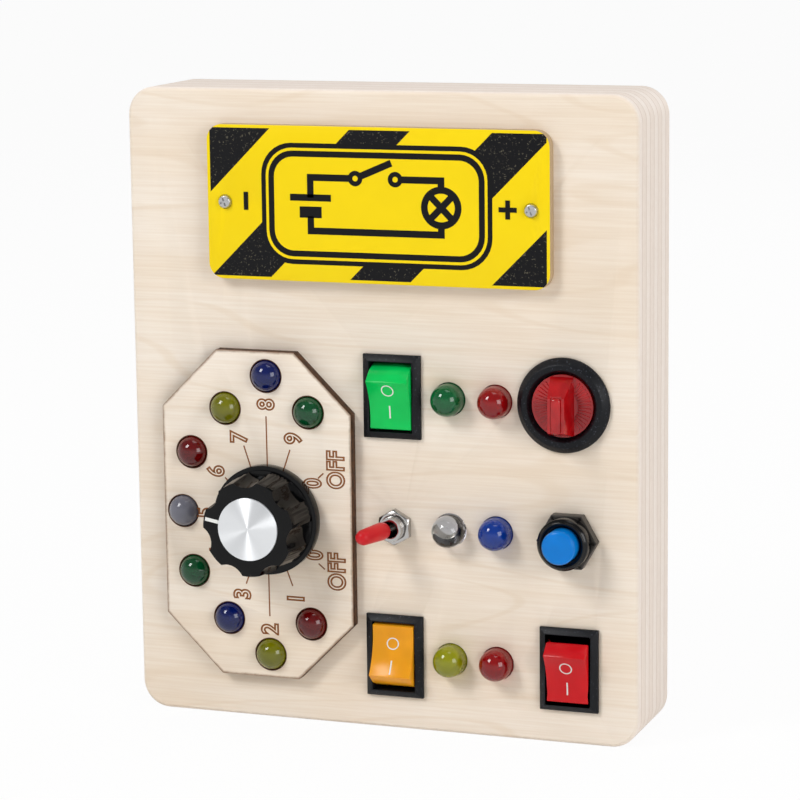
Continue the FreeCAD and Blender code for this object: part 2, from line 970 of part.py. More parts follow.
def battery_tray():
    mouth = cover_front
    rim_length = door_length + 2 * tray_rim
    rim_width = door_width + 2 * tray_rim
    middle = battery_centre_y
    rim = bar(rim_length, rim_width, mouth, mouth + tray_rim_thickness, y=middle)
    outer_length = tray_length + 2 * tray_wall
    outer_width = tray_width + 2 * tray_wall
    tub = bar(outer_length, outer_width, mouth, mouth + tray_depth + tray_wall, y=middle)
    bosses = [rod(boss_radius, mouth, mouth + boss_length, x, y) for x, y in door_screw_places()]
    pilots = [
        rod(door_screw_radius + screw_clearance, mouth, mouth + boss_length, x, y) for x, y in door_screw_places()
    ]
    pocket = bar(tray_length, tray_width, mouth, mouth + tray_depth, y=middle)
    return cut(fuse(rim, tub, *bosses), pocket, *pilots)


def battery_door():
    outside = cover_front - door_thickness
    door = bar(door_length, door_width, outside, cover_front, y=battery_centre_y)
    hole = countersunk_hole(door_screw_radius, door_screw_head, door_screw_head_depth, outside, cover_front)
    return cut(door, *[at(hole, x, y) for x, y in door_screw_places()])


def battery_door_screws():
    outside = cover_front - door_thickness
    tip = outside + door_screw_length
    screw = countersunk_screw(door_screw_radius, door_screw_head, door_screw_head_depth, outside, tip)
    return Part.makeCompound([at(screw, x, y) for x, y in door_screw_places()])


def cell_axis(row):
    """The y and z of a cell's axis: row is 1 for the upper cell and -1 for the lower one."""
    return battery_centre_y + row * cell_pitch / 2, cover_front + tray_depth / 2


def cell(row):
    """A cell lying along x; the two cells point opposite ways."""
    profile = [
        (cell_radius - 0.3, -cell_length / 2),
        (cell_radius, 0.3 - cell_length / 2),
        (cell_radius, cell_length / 2 - 0.3),
        (cell_radius - 0.3, cell_length / 2),
        (cell_nub_radius, cell_length / 2),
        (cell_nub_radius, cell_length / 2 + cell_nub),
    ]
    piece = turned_with_flats(profile, cell_flats)
    piece.rotate(V(0, 0, 0), V(0, 1, 0), 90 * row)
    y, z = cell_axis(row)
    piece.translate(V(row * (spring_reach - contact_bump - cell_nub) / 2, y, z))
    return piece


def battery_contacts():
    pieces = []
    wall = tray_length / 2
    half = contact_size / 2
    for row in (1, -1):
        y, z = cell_axis(row)
        for side in (1, -1):
            outer = side * wall
            inner = side * (wall - contact_thickness)
            plate = block(min(outer, inner), max(outer, inner), y - half, y + half, z - half, z + half)
            if side == row:
                sizes = [(cell_nub_radius, 0), (cell_nub_radius, contact_bump)]
            else:
                sizes = [(0.8 * half, 0), (0.5 * half, spring_reach)]
            bump = turned_with_flats(sizes, small_flats)
            bump.rotate(V(0, 0, 0), V(0, 1, 0), -90 * side)
            bump.translate(V(inner, y, z))
            pieces.append(plate.fuse(bump))
    return Part.makeCompound(pieces)


# Write every piece

os.makedirs("parts", exist_ok=True)

save("wooden_body", wooden_body())
save("back_cover", back_cover())
save("cover_screws", cover_screws())
save("dial_plate", dial_plate())
save("sign_plate", sign_plate())
save("sign_screws", sign_screws())

leads = []
for name, (x, y) in dial_lamp_places().items():
    save("dial_led_" + name, at(lamp(-front_wall), x, y))
    leads += [at(lead, x, y) for lead in lamp_leads(-front_wall)]
for name, (x, y) in panel_lamp_places().items():
    save(name, at(lamp(-front_wall), x, y))
    leads += [at(lead, x, y) for lead in lamp_leads(-front_wall)]
save("led_leads", Part.makeCompound(leads))

leans = {"green": rocker_swing / 2, "orange": -rocker_swing / 2, "red": rocker_swing / 2}
for colour, (x, y) in rocker_places().items():
    save(colour + "_rocker_housing", at(rocker_housing(), x, y))
    save(colour + "_rocker", at(rocker(leans[colour]), x, y))
save("rocker_terminals", rocker_terminals())

save("toggle_body", at(toggle_body(), toggle_x, middle_row))
save("toggle_bushing", at(toggle_bushing(), toggle_x, middle_row))
save("toggle_nut", at(toggle_nut(), toggle_x, middle_row))
save("toggle_lever", at(toggle_lever(), toggle_x, middle_row))
save("toggle_sleeve", at(toggle_sleeve(), toggle_x, middle_row))
save("toggle_terminals", toggle_terminals())

save("button_housing", at(button_housing(), button_x, button_y))
save("button_nuts", at(button_nuts(), button_x, button_y))
save("button_cap", at(button_cap(), button_x, button_y))
save("button_spring", at(button_spring(), button_x, button_y))
save("button_terminals", button_terminals())

save("rotary_housing", at(rotary_housing(), rotary_x, top_row))
save("rotary_knob", at(rotary_knob(), rotary_x, top_row))
save("rotary_terminals", rotary_terminals())

save("selector_switch", at(selector_switch(), selector_x, selector_y))
save("selector_terminals", at(selector_terminals(), selector_x, selector_y))
save("selector_nut", at(selector_nut(), selector_x, selector_y))
save("selector_shaft", at(selector_shaft(), selector_x, selector_y))
save("selector_knob", on_selector(selector_knob()))
save("selector_cap", on_selector(selector_cap()))
save("selector_pointer", on_selector(selector_pointer()))
save("selector_set_screw", on_selector(selector_set_screw()))

save("battery_tray", battery_tray())
save("battery_door", battery_door())
save("battery_door_screws", battery_door_screws())
save("upper_cell", cell(1))
save("lower_cell", cell(-1))
save("battery_contacts", battery_contacts())
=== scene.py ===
# %% [markdown]
# # A wooden busy board
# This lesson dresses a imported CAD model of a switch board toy: a pale plywood box with a striped
# sign, an octagonal dial plate, lamps and switches. The CAD gives every piece its place. Here each
# visible piece gets eased edges, its finish and its small details. Everything is in metres.

# %% Load the fixed frame
import bpy
import json
from math import atan2, cos, degrees, pi, radians, sin, sqrt
from mathutils import Matrix, Vector


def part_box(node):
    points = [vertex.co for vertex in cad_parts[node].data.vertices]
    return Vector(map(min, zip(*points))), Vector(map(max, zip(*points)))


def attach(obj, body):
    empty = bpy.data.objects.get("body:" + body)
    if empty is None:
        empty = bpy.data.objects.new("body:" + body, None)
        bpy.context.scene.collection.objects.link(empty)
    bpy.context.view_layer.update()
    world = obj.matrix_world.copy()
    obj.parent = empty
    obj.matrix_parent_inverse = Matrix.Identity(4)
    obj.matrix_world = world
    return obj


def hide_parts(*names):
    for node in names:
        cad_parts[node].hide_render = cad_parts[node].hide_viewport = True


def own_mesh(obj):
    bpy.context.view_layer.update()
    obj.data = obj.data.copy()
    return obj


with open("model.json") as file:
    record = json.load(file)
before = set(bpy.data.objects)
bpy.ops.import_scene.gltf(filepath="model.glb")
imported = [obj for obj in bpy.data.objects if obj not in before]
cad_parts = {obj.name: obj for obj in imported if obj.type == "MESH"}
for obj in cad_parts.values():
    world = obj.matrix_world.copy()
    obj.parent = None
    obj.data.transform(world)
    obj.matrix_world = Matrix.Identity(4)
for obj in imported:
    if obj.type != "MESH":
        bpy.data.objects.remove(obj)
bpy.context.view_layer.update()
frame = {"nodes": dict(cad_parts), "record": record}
nodes = frame["nodes"]
groups = frame["record"]["behaviour"]["bodies"]
body_of = {member: body for body, members in groups.items() for member in members}
slot_of = {row["node"]: row["material_slot"] for row in frame["record"]["subparts"]}
MM = 0.001

# %% [markdown]
# The camera stands where the photographer stood: to the right of the board and a little above it,
# with a long lens. Its few numbers were fitted until the board's corners fell where the photograph
# has them. Two angles and a small roll give the camera's three axes, and one matrix sets them.

# %% Camera at the photograph's angle
CAMERA_TURN = radians(20.07)
CAMERA_RISE = radians(10.16)
CAMERA_ROLL = radians(-0.68)
CAMERA_DISTANCE = 0.7595
CAMERA_TARGET = Vector((5.37, -14.0, 84.15)) * MM
CAMERA_LENS = 138.31

back = Vector((sin(CAMERA_TURN) * cos(CAMERA_RISE), -cos(CAMERA_TURN) * cos(CAMERA_RISE), sin(CAMERA_RISE)))
level = Vector((cos(CAMERA_TURN), sin(CAMERA_TURN), 0.0))
upright = back.cross(level)
right = cos(CAMERA_ROLL) * level + sin(CAMERA_ROLL) * upright
above = -sin(CAMERA_ROLL) * level + cos(CAMERA_ROLL) * upright
bpy.ops.object.camera_add()
camera = bpy.context.object
camera.name = "photo_camera"
camera.matrix_world = Matrix.Translation(CAMERA_TARGET + back * CAMERA_DISTANCE) @ Matrix(
    (right, above, back)
).transposed().to_4x4()
camera.data.lens = CAMERA_LENS
camera.data.sensor_width = 36.0
camera.data.clip_start = 0.01
bpy.context.scene.camera = camera
print("camera at", [round(v, 3) for v in camera.matrix_world.translation])

# %% [markdown]
# One function turns a written sRGB colour into the linear values that Blender mixes. One more adds
# a shader node with its settings and links: an input is a number, a hex colour, a socket, or
# another node, whose own result is then used. A finish starts from its shader, so that plain
# numbers such as roughness sit on the shader's own sockets.

# %% Colour and node helpers
MIXED_COLOUR = 2


def rgb(code):
    """An sRGB hex colour as linear red, green, blue and alpha."""
    parts = [int(code[k:k + 2], 16) / 255 for k in (1, 3, 5)]
    linear = [c / 12.92 if c <= 0.04045 else ((c + 0.055) / 1.055) ** 2.4 for c in parts]
    return (*linear, 1.0)


def result_of(value):
    """A Mix node's colour, any other node's first output, and anything else as it is."""
    if isinstance(value, bpy.types.ShaderNodeMix):
        return value.outputs[MIXED_COLOUR]
    if isinstance(value, bpy.types.Node):
        return value.outputs[0]
    return value


def node(finish, kind, inputs=None, **settings):
    """Add one shader node with its settings, and fill or link its inputs by name or place."""
    made = finish.node_tree.nodes.new("ShaderNode" + kind)
    for name, value in settings.items():
        setattr(made, name, value)
    for key, value in (inputs or {}).items():
        source = result_of(value)
        if isinstance(source, bpy.types.NodeSocket):
            finish.node_tree.links.new(source, made.inputs[key])
        else:
            made.inputs[key].default_value = rgb(source) if isinstance(source, str) else source
    return made


def join(finish, value, target, socket):
    """Link a node's result to one socket of another node."""
    finish.node_tree.links.new(result_of(value), target.inputs[socket])


def new_finish(name, colour, roughness, **sockets):
    """A material with its shader linked to the output; sockets are further shader values."""
    finish = bpy.data.materials.new(name)
    finish.use_nodes = True
    finish.node_tree.nodes.clear()
    values = {"Base Color": colour, "Roughness": roughness}
    values.update({key.replace("_", " "): value for key, value in sockets.items()})
    shader = node(finish, "BsdfPrincipled", values)
    node(finish, "OutputMaterial", {"Surface": shader})
    return finish, shader


print("white in linear values:", rgb("#FFFFFF"))

# %% [markdown]
# The floor is a plain sheet of white paper. The camera, mirrors and glass meet it as even white,
# while every other ray meets the paper itself, so that it keeps the board's soft shadow.

# %% White floor
FLOOR_SIZE = 40.0
WHITE_VEIL = 0.95

bpy.ops.mesh.primitive_plane_add(size=FLOOR_SIZE)
floor = bpy.context.object
floor.name = "floor"
floor_paper, paper_shader = new_finish("matt white paper", "#F4F3F1", 0.9)
shown = node(floor_paper, "Emission", {"Color": "#FFFFFF", "Strength": 1.0})


def sees_background(finish, mirrored=1.0):
    """1 for camera and glass rays, which meet the white background, and a share for mirror rays."""
    rays = node(finish, "LightPath").outputs
    mirror = node(finish, "Math", {0: rays["Is Glossy Ray"], 1: mirrored}, operation="MULTIPLY")
    direct = node(finish, "Math", {0: rays["Is Camera Ray"], 1: mirror}, operation="MAXIMUM")
    return node(finish, "Math", {0: direct, 1: rays["Is Transmission Ray"]}, operation="MAXIMUM")


veil = node(floor_paper, "Math", {0: sees_background(floor_paper), 1: WHITE_VEIL}, operation="MULTIPLY")
paper_mix = node(floor_paper, "MixShader", {0: veil, 1: paper_shader, 2: shown})
paper_output = [n for n in floor_paper.node_tree.nodes if n.type == "OUTPUT_MATERIAL"][0]
join(floor_paper, paper_mix, paper_output, "Surface")
floor.data.materials.append(floor_paper)
print("floor:", FLOOR_SIZE, "m")

# %% [markdown]
# The world lights the board at a dim, even level. Mirrors see white only near the ground, because a
# studio's ceiling is dim: that keeps dark plastic dark. A soft step from low to high does it.

# %% World
DIM_LEVEL = 0.34
CEILING_START = 0.1
CEILING_FULL = 0.5

world = bpy.data.worlds.new("studio")
bpy.context.scene.world = world
world.use_nodes = True
world.node_tree.nodes.clear()
dim = node(world, "Background", {"Color": "#F4F5F8", "Strength": DIM_LEVEL})
white = node(world, "Background", {"Color": "#FFFFFF", "Strength": 1.0})
height = node(world, "SeparateXYZ", {0: node(world, "TexCoord").outputs["Generated"]}).outputs[2]
low_sky = node(world, "MapRange", {0: height, 1: CEILING_START, 2: CEILING_FULL, 3: 1.0, 4: 0.0})
sky = node(world, "MixShader", {0: sees_background(world, low_sky), 1: dim, 2: white})
node(world, "OutputWorld", {"Surface": sky})
print("world level:", DIM_LEVEL)

# %% [markdown]
# The photograph was lit by a window at the upper left of the front. A large soft lamp stands in for
# it, a weaker one fills from the right, and two more keep the top and the back from going grey.

# %% Lamps of the studio
BOARD_MIDDLE = (0, 0, 0.08)


def soft_lamp(name, place, size, power):
    """A soft rectangle of light that points at the middle of the board."""
    bpy.ops.object.light_add(type="AREA", location=place)
    lamp = bpy.context.object
    lamp.name = name
    lamp.data.shape = "RECTANGLE"
    lamp.data.size, lamp.data.size_y = size
    lamp.data.energy = power
    lamp.rotation_euler = (Vector(BOARD_MIDDLE) - Vector(place)).to_track_quat("-Z", "Y").to_euler()


soft_lamp("window_left", (-0.55, -0.75, 0.85), (0.34, 0.42), 6.4)
soft_lamp("fill_right", (0.9, -0.5, 0.35), (0.5, 0.5), 3.8)
soft_lamp("top", (0.1, 0.1, 1.1), (0.7, 0.5), 2.6)
soft_lamp("back_fill", (0.35, 1.1, 0.55), (0.6, 0.6), 2.2)
bpy.context.scene.view_settings.view_transform = "Standard"
print("studio lamps:", len(bpy.data.lights))

# %% [markdown]
# Every pattern comes from a point's own place on the object, so it has a real size and lines up
# round corners. Noise is divided by a size in millimetres along each axis: a long, thin size makes
# fibres, an even one makes specks. In a MapRange node, sockets 1 and 2 hold the range that comes in
# and 3 and 4 the one that goes out. In a Mix node of colours, 0 is the share, 6 and 7 the colours.

# %% Patterns with real sizes
SMOOTH = {"interpolation_type": "SMOOTHSTEP"}
COLOURS = {"data_type": "RGBA"}


def grain(finish, size_mm, detail=4.0, roughness=0.6):
    """Noise whose lumps have the given size in millimetres along x, y and z."""
    place = node(finish, "TexCoord").outputs["Object"]
    scale = tuple(1000.0 / s for s in size_mm)
    scaled = node(finish, "Mapping", {"Vector": place, "Scale": scale})
    settings = {"Vector": scaled, "Scale": 1.0, "Detail": detail, "Roughness": roughness}
    return node(finish, "TexNoise", settings)


def axes(finish):
    """A point's own X, Y and Z on the object, in metres."""
    return node(finish, "SeparateXYZ", {0: node(finish, "TexCoord").outputs["Object"]}).outputs


def frontness(finish):
    """1 where the surface faces the front or the back, 0 on the sides."""
    normal = node(finish, "SeparateXYZ", {0: node(finish, "NewGeometry").outputs["Normal"]})
    facing = node(finish, "Math", {0: normal.outputs[1]}, operation="ABSOLUTE")
    return node(finish, "MapRange", {0: facing, 1: 0.55, 2: 0.8}, **SMOOTH)


def fine_relief(finish, shader, height, strength, depth):
    """Let a pattern tilt the light a little, as its real height would."""
    bump = node(finish, "Bump", {"Strength": strength, "Distance": depth, "Height": height})
    join(finish, bump, shader, "Normal")


print("a 2 mm lump is a noise scale of", round(1 / (2 * MM)))

# %% [markdown]
# The case is pale birch plywood. Its face shows long faint fibres that run across the board, and
# here and there the line of a year ring. Its sides show the plies: thin layers, in turn along and
# across the grain, with a brown glue line between them. The plies follow from a point's depth alone.

# %% Birch plywood
PLY = 3.5 * MM
BOARD_LOW, BOARD_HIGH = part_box("wooden_body")
FRONT = BOARD_LOW.y
WOOD_RELIEF = 0.15
FIBRE_HEIGHT = 0.08 * MM


def face_fibres(finish):
    """The colour of a sanded face, and the fibres that it comes from."""
    streaks = node(finish, "MapRange", {0: grain(finish, (24, 8, 0.6)), 1: 0.3, 2: 0.72}, **SMOOTH)
    clouds = node(finish, "MapRange", {0: grain(finish, (90, 30, 16), 2.0), 1: 0.3, 2: 0.7}, **SMOOTH)
    fibres = node(finish, "Mix", {0: streaks, 6: "#F0E2D1", 7: "#F6EBDD"}, **COLOURS)
    shade = node(finish, "Mix", {0: clouds, 6: "#FAF5EE", 7: "#FFFFFF"}, **COLOURS)
    waves = node(finish, "Math", {0: grain(finish, (150, 40, 26), 1.0), 1: 9.0}, operation="MULTIPLY")
    rings = node(finish, "Math", {0: waves, 1: 0.5}, operation="PINGPONG")
    ring_line = node(finish, "MapRange", {0: rings, 1: 0.02, 2: 0.1, 3: 0.28, 4: 0.0}, **SMOOTH)
    plain = node(finish, "Mix", {0: 1.0, 6: fibres, 7: shade}, blend_type="MULTIPLY", **COLOURS)
    return node(finish, "Mix", {0: ring_line, 6: plain, 7: "#E3CDB2"}, **COLOURS), streaks


def side_plies(finish):
    """Layers in turn along and across the grain, with a glue line between them."""
    waver = {0: grain(finish, (30, 30, 30), 1.0), 1: 0.3, 2: 0.7, 3: -0.12 * MM, 4: 0.12 * MM}
    wobble = node(finish, "MapRange", waver, **SMOOTH)
    above_zero = node(finish, "Math", {0: axes(finish)["Y"], 1: 1.0}, operation="ADD")
    depth = node(finish, "Math", {0: above_zero, 1: wobble}, operation="ADD")
    layer = node(finish, "Math", {0: depth, 1: PLY}, operation="DIVIDE")
    turn = node(finish, "Math", {0: layer, 1: 1.0}, operation="PINGPONG")
    cross = node(finish, "MapRange", {0: turn, 1: 0.42, 2: 0.58}, **SMOOTH)
    from_glue = node(finish, "Math", {0: turn, 1: 0.5}, operation="SUBTRACT")
    from_glue = node(finish, "Math", {0: from_glue}, operation="ABSOLUTE")
    wood = node(finish, "MapRange", {0: from_glue, 1: 0.0, 2: 0.07}, **SMOOTH)
    pores = node(finish, "MapRange", {0: grain(finish, (1.6, 0.3, 1.6)), 1: 0.35, 2: 0.7}, **SMOOTH)
    lengthways = node(finish, "Mix", {0: pores, 6: "#F0E2D6", 7: "#F6EBE1"}, **COLOURS)
    crossways = node(finish, "Mix", {0: pores, 6: "#EBDCCF", 7: "#F2E5D9"}, **COLOURS)
    plies = node(finish, "Mix", {0: cross, 6: lengthways, 7: crossways}, **COLOURS)
    return node(finish, "Mix", {0: wood, 6: "#CDB6A2", 7: plies}, **COLOURS)


def ply_colour(finish):
    """Face fibres on the front and back, plies on the sides."""
    face, streaks = face_fibres(finish)
    side = side_plies(finish)
    return node(finish, "Mix", {0: frontness(finish), 6: side, 7: face}, **COLOURS), streaks


# Sanded birch is matt and almost white, and only its fibres and plies break that up.
birch, birch_shader = new_finish("birch plywood, sanded", "#E9DBC8", 0.55, Specular_IOR_Level=0.35)
birch_colour, birch_fibres = ply_colour(birch)
join(birch, birch_colour, birch_shader, "Base Color")
fine_relief(birch, birch_shader, birch_fibres, WOOD_RELIEF, FIBRE_HEIGHT)
print("plies in the board:", round((BOARD_HIGH.y - BOARD_LOW.y) / PLY, 1))

# %% [markdown]
# The dial plate was cut by a laser, so its edges and the walls of its holes are charred brown, and
# the char bleeds a little way on to the face. How far a point lies inside the octagon gives that
# bleed: the octagon is a rectangle with its four corners cut off at 45 degrees.

# %% Laser cut plywood
DIAL_LOW, DIAL_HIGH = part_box("dial_plate")
DIAL_MIDDLE = (DIAL_LOW + DIAL_HIGH) / 2
DIAL_HALF = (DIAL_HIGH - DIAL_LOW) / 2
DIAL_CHAMFER = 15.0 * MM
BLEED_WIDTH = 0.8 * MM
BLEED_WAVER = 0.1 * MM

# A burnt edge is nearly black and takes no shine, against the pale face beside it.
charred, charred_shader = new_finish("laser cut birch plywood", "#E9DBC8", 0.6, Specular_IOR_Level=0.3)
plain_wood, dial_fibres = ply_colour(charred)
offsets = []
for axis, middle in (("X", DIAL_MIDDLE.x), ("Z", DIAL_MIDDLE.z)):
    offset = node(charred, "Math", {0: axes(charred)[axis], 1: middle}, operation="SUBTRACT")
    offsets.append(node(charred, "Math", {0: offset}, operation="ABSOLUTE"))
past_side = node(charred, "Math", {0: offsets[0], 1: DIAL_HALF.x}, operation="SUBTRACT")
past_top = node(charred, "Math", {0: offsets[1], 1: DIAL_HALF.z}, operation="SUBTRACT")
past_straight = node(charred, "Math", {0: past_side, 1: past_top}, operation="MAXIMUM")
corner_reach = DIAL_HALF.x + DIAL_HALF.z - DIAL_CHAMFER
both = node(charred, "Math", {0: offsets[0], 1: offsets[1]}, operation="ADD")
past_corner = node(charred, "Math", {0: both, 1: corner_reach}, operation="SUBTRACT")
past_corner = node(charred, "Math", {0: past_corner, 1: sqrt(0.5)}, operation="MULTIPLY")
beyond = node(charred, "Math", {0: past_straight, 1: past_corner}, operation="MAXIMUM")
waver = {0: grain(charred, (2, 2, 2)), 1: 0.3, 2: 0.7, 3: -BLEED_WAVER, 4: BLEED_WAVER}
ragged = node(charred, "MapRange", waver, **SMOOTH)
beyond = node(charred, "Math", {0: beyond, 1: ragged}, operation="ADD")
bleed = node(charred, "MapRange", {0: beyond, 1: -BLEED_WIDTH, 2: 0.0, 3: 0.0, 4: 0.8}, **SMOOTH)
toasted = node(charred, "Mix", {0: bleed, 6: plain_wood, 7: "#7A5230"}, **COLOURS)
soot = node(charred, "MapRange", {0: grain(charred, (1.5, 0.5, 1.5)), 1: 0.35, 2: 0.65}, **SMOOTH)
burnt_side = node(charred, "Mix", {0: soot, 6: "#2E1C10", 7: "#5C3A20"}, **COLOURS)
dial_colour = node(charred, "Mix", {0: frontness(charred), 6: burnt_side, 7: toasted}, **COLOURS)
join(charred, dial_colour, charred_shader, "Base Color")
fine_relief(charred, charred_shader, dial_fibres, WOOD_RELIEF, FIBRE_HEIGHT)
print("dial plate:", round(2 * DIAL_HALF.x / MM, 1), "x", round(2 * DIAL_HALF.z / MM, 1), "mm")

# %% [markdown]
# The sign is printed: yellow with slanting black stripes, like common hazard tape. The stripes lean
# at 45 degrees, so a point's place along the plate plus its drop from the top edge says whether it
# lies on black. A thin yellow line runs round the edge. The black ink is dry and lets specks through.

# %% Printed hazard stripes
SIGN_LOW, SIGN_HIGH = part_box("sign_plate")
STRIPE_PITCH = 36.7 * MM
STRIPE_SHARE = 0.43
STRIPE_START = 1.9 * MM
SIGN_RIM = 0.8 * MM

# Print on board has a low, even sheen, and its cut edge shows the bare brown board.
print_ink, ink_shader = new_finish("printed sign board", "#F5D822", 0.38, Specular_IOR_Level=0.15)
sign_place = axes(print_ink)
along = node(print_ink, "Math", {0: sign_place["X"], 1: SIGN_LOW.x}, operation="SUBTRACT")
left_over = node(print_ink, "Math", {0: SIGN_HIGH.x, 1: sign_place["X"]}, operation="SUBTRACT")
drop = node(print_ink, "Math", {0: SIGN_HIGH.z, 1: sign_place["Z"]}, operation="SUBTRACT")
rise = node(print_ink, "Math", {0: sign_place["Z"], 1: SIGN_LOW.z}, operation="SUBTRACT")
started = node(print_ink, "Math", {0: along, 1: STRIPE_START}, operation="SUBTRACT")
slant = node(print_ink, "Math", {0: started, 1: drop}, operation="ADD")
stripes = node(print_ink, "Math", {0: slant, 1: STRIPE_PITCH}, operation="DIVIDE")
stripe = node(print_ink, "Math", {0: stripes}, operation="FRACT")
black = node(print_ink, "Math", {0: stripe, 1: STRIPE_SHARE}, operation="LESS_THAN")
first_corner = node(print_ink, "Math", {0: slant, 1: 0.0}, operation="LESS_THAN")
black = node(print_ink, "Math", {0: black, 1: first_corner}, operation="MAXIMUM")
for reach in (along, drop, left_over, rise):
    inside = node(print_ink, "Math", {0: reach, 1: SIGN_RIM}, operation="GREATER_THAN")
    black = node(print_ink, "Math", {0: black, 1: inside}, operation="MULTIPLY")
speckle = {0: grain(print_ink, (0.6, 0.6, 0.6), 2.0, 0.8), 1: 0.6, 2: 0.7, 3: 0.0, 4: 0.4}
specks = node(print_ink, "MapRange", speckle, **SMOOTH)
dry_black = node(print_ink, "Mix", {0: specks, 6: "#0E0E11", 7: "#8A8470"}, **COLOURS)
cloudy = node(print_ink, "MapRange", {0: grain(print_ink, (12, 12, 12), 2.0), 1: 0.35, 2: 0.7}, **SMOOTH)
yellow = node(print_ink, "Mix", {0: cloudy, 6: "#F9D80E", 7: "#FADB12"}, **COLOURS)
face_print = node(print_ink, "Mix", {0: black, 6: yellow, 7: dry_black}, **COLOURS)
sign_colour = node(print_ink, "Mix", {0: frontness(print_ink), 6: "#B9A07C", 7: face_print}, **COLOURS)
join(print_ink, sign_colour, ink_shader, "Base Color")
print("stripes along the sign:", round((SIGN_HIGH.x - SIGN_LOW.x) / STRIPE_PITCH, 1))

# %% [markdown]
# The switches are moulded plastic. A mould leaves a fine grain, which breaks the sheen up, and a
# thick wall cools unevenly, which changes the tone a little. Both are noise of a real size. A spark
# eroded mould leaves a coarse grain and a polished one nearly none, so those differ in two numbers.
# Real grain is finer than a pixel here, and is drawn as coarse as it needs to show.

# %% Moulded plastics
GRAIN_HEIGHT = 0.03 * MM


def moulded(name, colour, roughness, grain_mm=0.3, relief=0.3, shade=0.86, **sockets):
    """Moulded plastic: a fine grain in its height, and a slow change in its tone down to a shade."""
    finish, shader = new_finish(name, colour, roughness, **sockets)
    fine_relief(finish, shader, grain(finish, (grain_mm,) * 3, 2.0), relief, GRAIN_HEIGHT)
    tone = node(finish, "MapRange", {0: grain(finish, (9, 9, 9), 2.0), 1: 0.3, 2: 0.7}, **SMOOTH)
    darker = [c * shade for c in rgb(colour)[:3]]
    shades = node(finish, "Mix", {0: tone, 6: (*darker, 1.0), 7: colour}, **COLOURS)
    join(finish, shades, shader, "Base Color")
    return finish


# Spark eroded nylon is dull. Its grey specks are painted glints, standing for the light that single grains
# catch.
nylon = moulded("black nylon, spark eroded", "#0F1117", 0.42, 0.4, 1.0, Specular_IOR_Level=0.2)
# Painted glints: noise picks out small specks, which get a lighter grey in the colour.
painted_glint_noise = {0: grain(nylon, (0.55, 0.55, 0.55), 2.0, 0.8), 1: 0.62, 2: 0.7, 3: 0.0, 4: 0.55}
painted_glints = node(nylon, "MapRange", painted_glint_noise, **SMOOTH)
nylon_shader = [n for n in nylon.node_tree.nodes if n.type == "BSDF_PRINCIPLED"][0]
# The grey here is a painted glint on each speck, not a colour of the nylon.
nylon_colour_with_painted_glints = node(nylon, "Mix", {0: painted_glints, 6: "#0D0F14", 7: "#5A5E69"}, **COLOURS)
join(nylon, nylon_colour_with_painted_glints, nylon_shader, "Base Color")
# Polished phenolic is close to a mirror, so each flute of the knob carries one crisp streak.
gloss_black = moulded("black phenolic, polished", "#040405", 0.08, 1.5, 0.1, Specular_IOR_Level=0.2)
# Satin ABS spreads the same streak a little wider.
satin_black = moulded("black ABS, satin", "#060608", 0.16, 0.6, 0.2, Specular_IOR_Level=0.3)
# Glass filled nylon that a spanner has rubbed turns a warm, patchy grey.
nut_black = moulded("glass filled nylon, rubbed", "#3A3531", 0.34, 0.8, 0.4, Specular_IOR_Level=0.4)
# Light soaks a little way into bright plastic, so its colour stays strong in the shade too.
SOAKING = {"Subsurface_Weight": 0.15, "Subsurface_Scale": 0.002, "Specular_IOR_Level": 0.22}
green_rocker_plastic = moulded("green polycarbonate", "#06CC5C", 0.22, 1.5, 0.1, **SOAKING)
orange_rocker_plastic = moulded("amber polycarbonate", "#F4A41C", 0.22, 1.5, 0.1, **SOAKING)
red_rocker_plastic = moulded("red polycarbonate", "#D4161E", 0.22, 1.5, 0.1, **SOAKING)
blue_plastic = moulded("blue polycarbonate", "#0082DE", 0.2, 1.5, 0.1, **SOAKING)
# Dipped vinyl is soft and nearly matt.
red_vinyl = moulded("soft red vinyl", "#D21E26", 0.38, 0.5, 0.3, **SOAKING)
# Textured ABS hides finger marks, and shows no streak of light at all.
grey_plastic = moulded("charcoal ABS, textured", "#26272B", 0.55, 0.4, 0.5)
# A printed steel jacket is smooth under its lacquer.
jacket = moulded("printed steel jacket", "#2E6B46", 0.35, 1.0, 0.1)
print("finishes so far:", len(bpy.data.materials))

# %% [markdown]
# The rotary switch lights up when it is on, so its knob is clear red plastic: part of the light
# goes through, and the dye is deeper in some places than in others, at random. Paint and ink are thin and
# nearly matt.
# Char is quite matt: its lines are light brown where the laser ran fast, dark where it cut through.

# %% Clear plastic, paint, ink and char
clear_red, clear_red_shader = new_finish(
    "clear red polycarbonate", "#B00E16", 0.1, IOR=1.58, Transmission_Weight=0.3, Specular_IOR_Level=0.35
)
dye_depth = node(clear_red, "MapRange", {0: grain(clear_red, (6, 6, 6), 2.0), 1: 0.3, 2: 0.7}, **SMOOTH)
dyed = node(clear_red, "Mix", {0: dye_depth, 6: "#B00A12", 7: "#DC1A1E"}, **COLOURS)
join(clear_red, dyed, clear_red_shader, "Base Color")
white_paint = moulded("white pad print", "#EDEEEA", 0.45, 0.3, 0.2)
black_ink = moulded("black screen print", "#0E0E11", 0.4, 0.3, 0.3, Specular_IOR_Level=0.15)
yellow_ink = moulded("yellow screen print", "#FADA10", 0.4, 0.3, 0.2, 0.98, Specular_IOR_Level=0.15)
brown_char = moulded("laser engraved line", "#8E5628", 0.8, 0.6, 0.5)
dark_char = moulded("laser cut rim", "#5A3218", 0.8, 0.6, 0.5)
print("printed and burnt:", [m.name for m in (white_paint, black_ink, yellow_ink, brown_char, dark_char)])

# %% [markdown]
# Metal keeps its own colour in every reflection. Fine scratches tilt the light, and wear makes some
# places duller than others. A disc turned on a lathe has grooves in rings, which draw each light
# out into a wedge: a tangent that runs round the y axis gives the direction of those grooves.

# %% Metals
SCRATCH_HEIGHT = 0.02 * MM


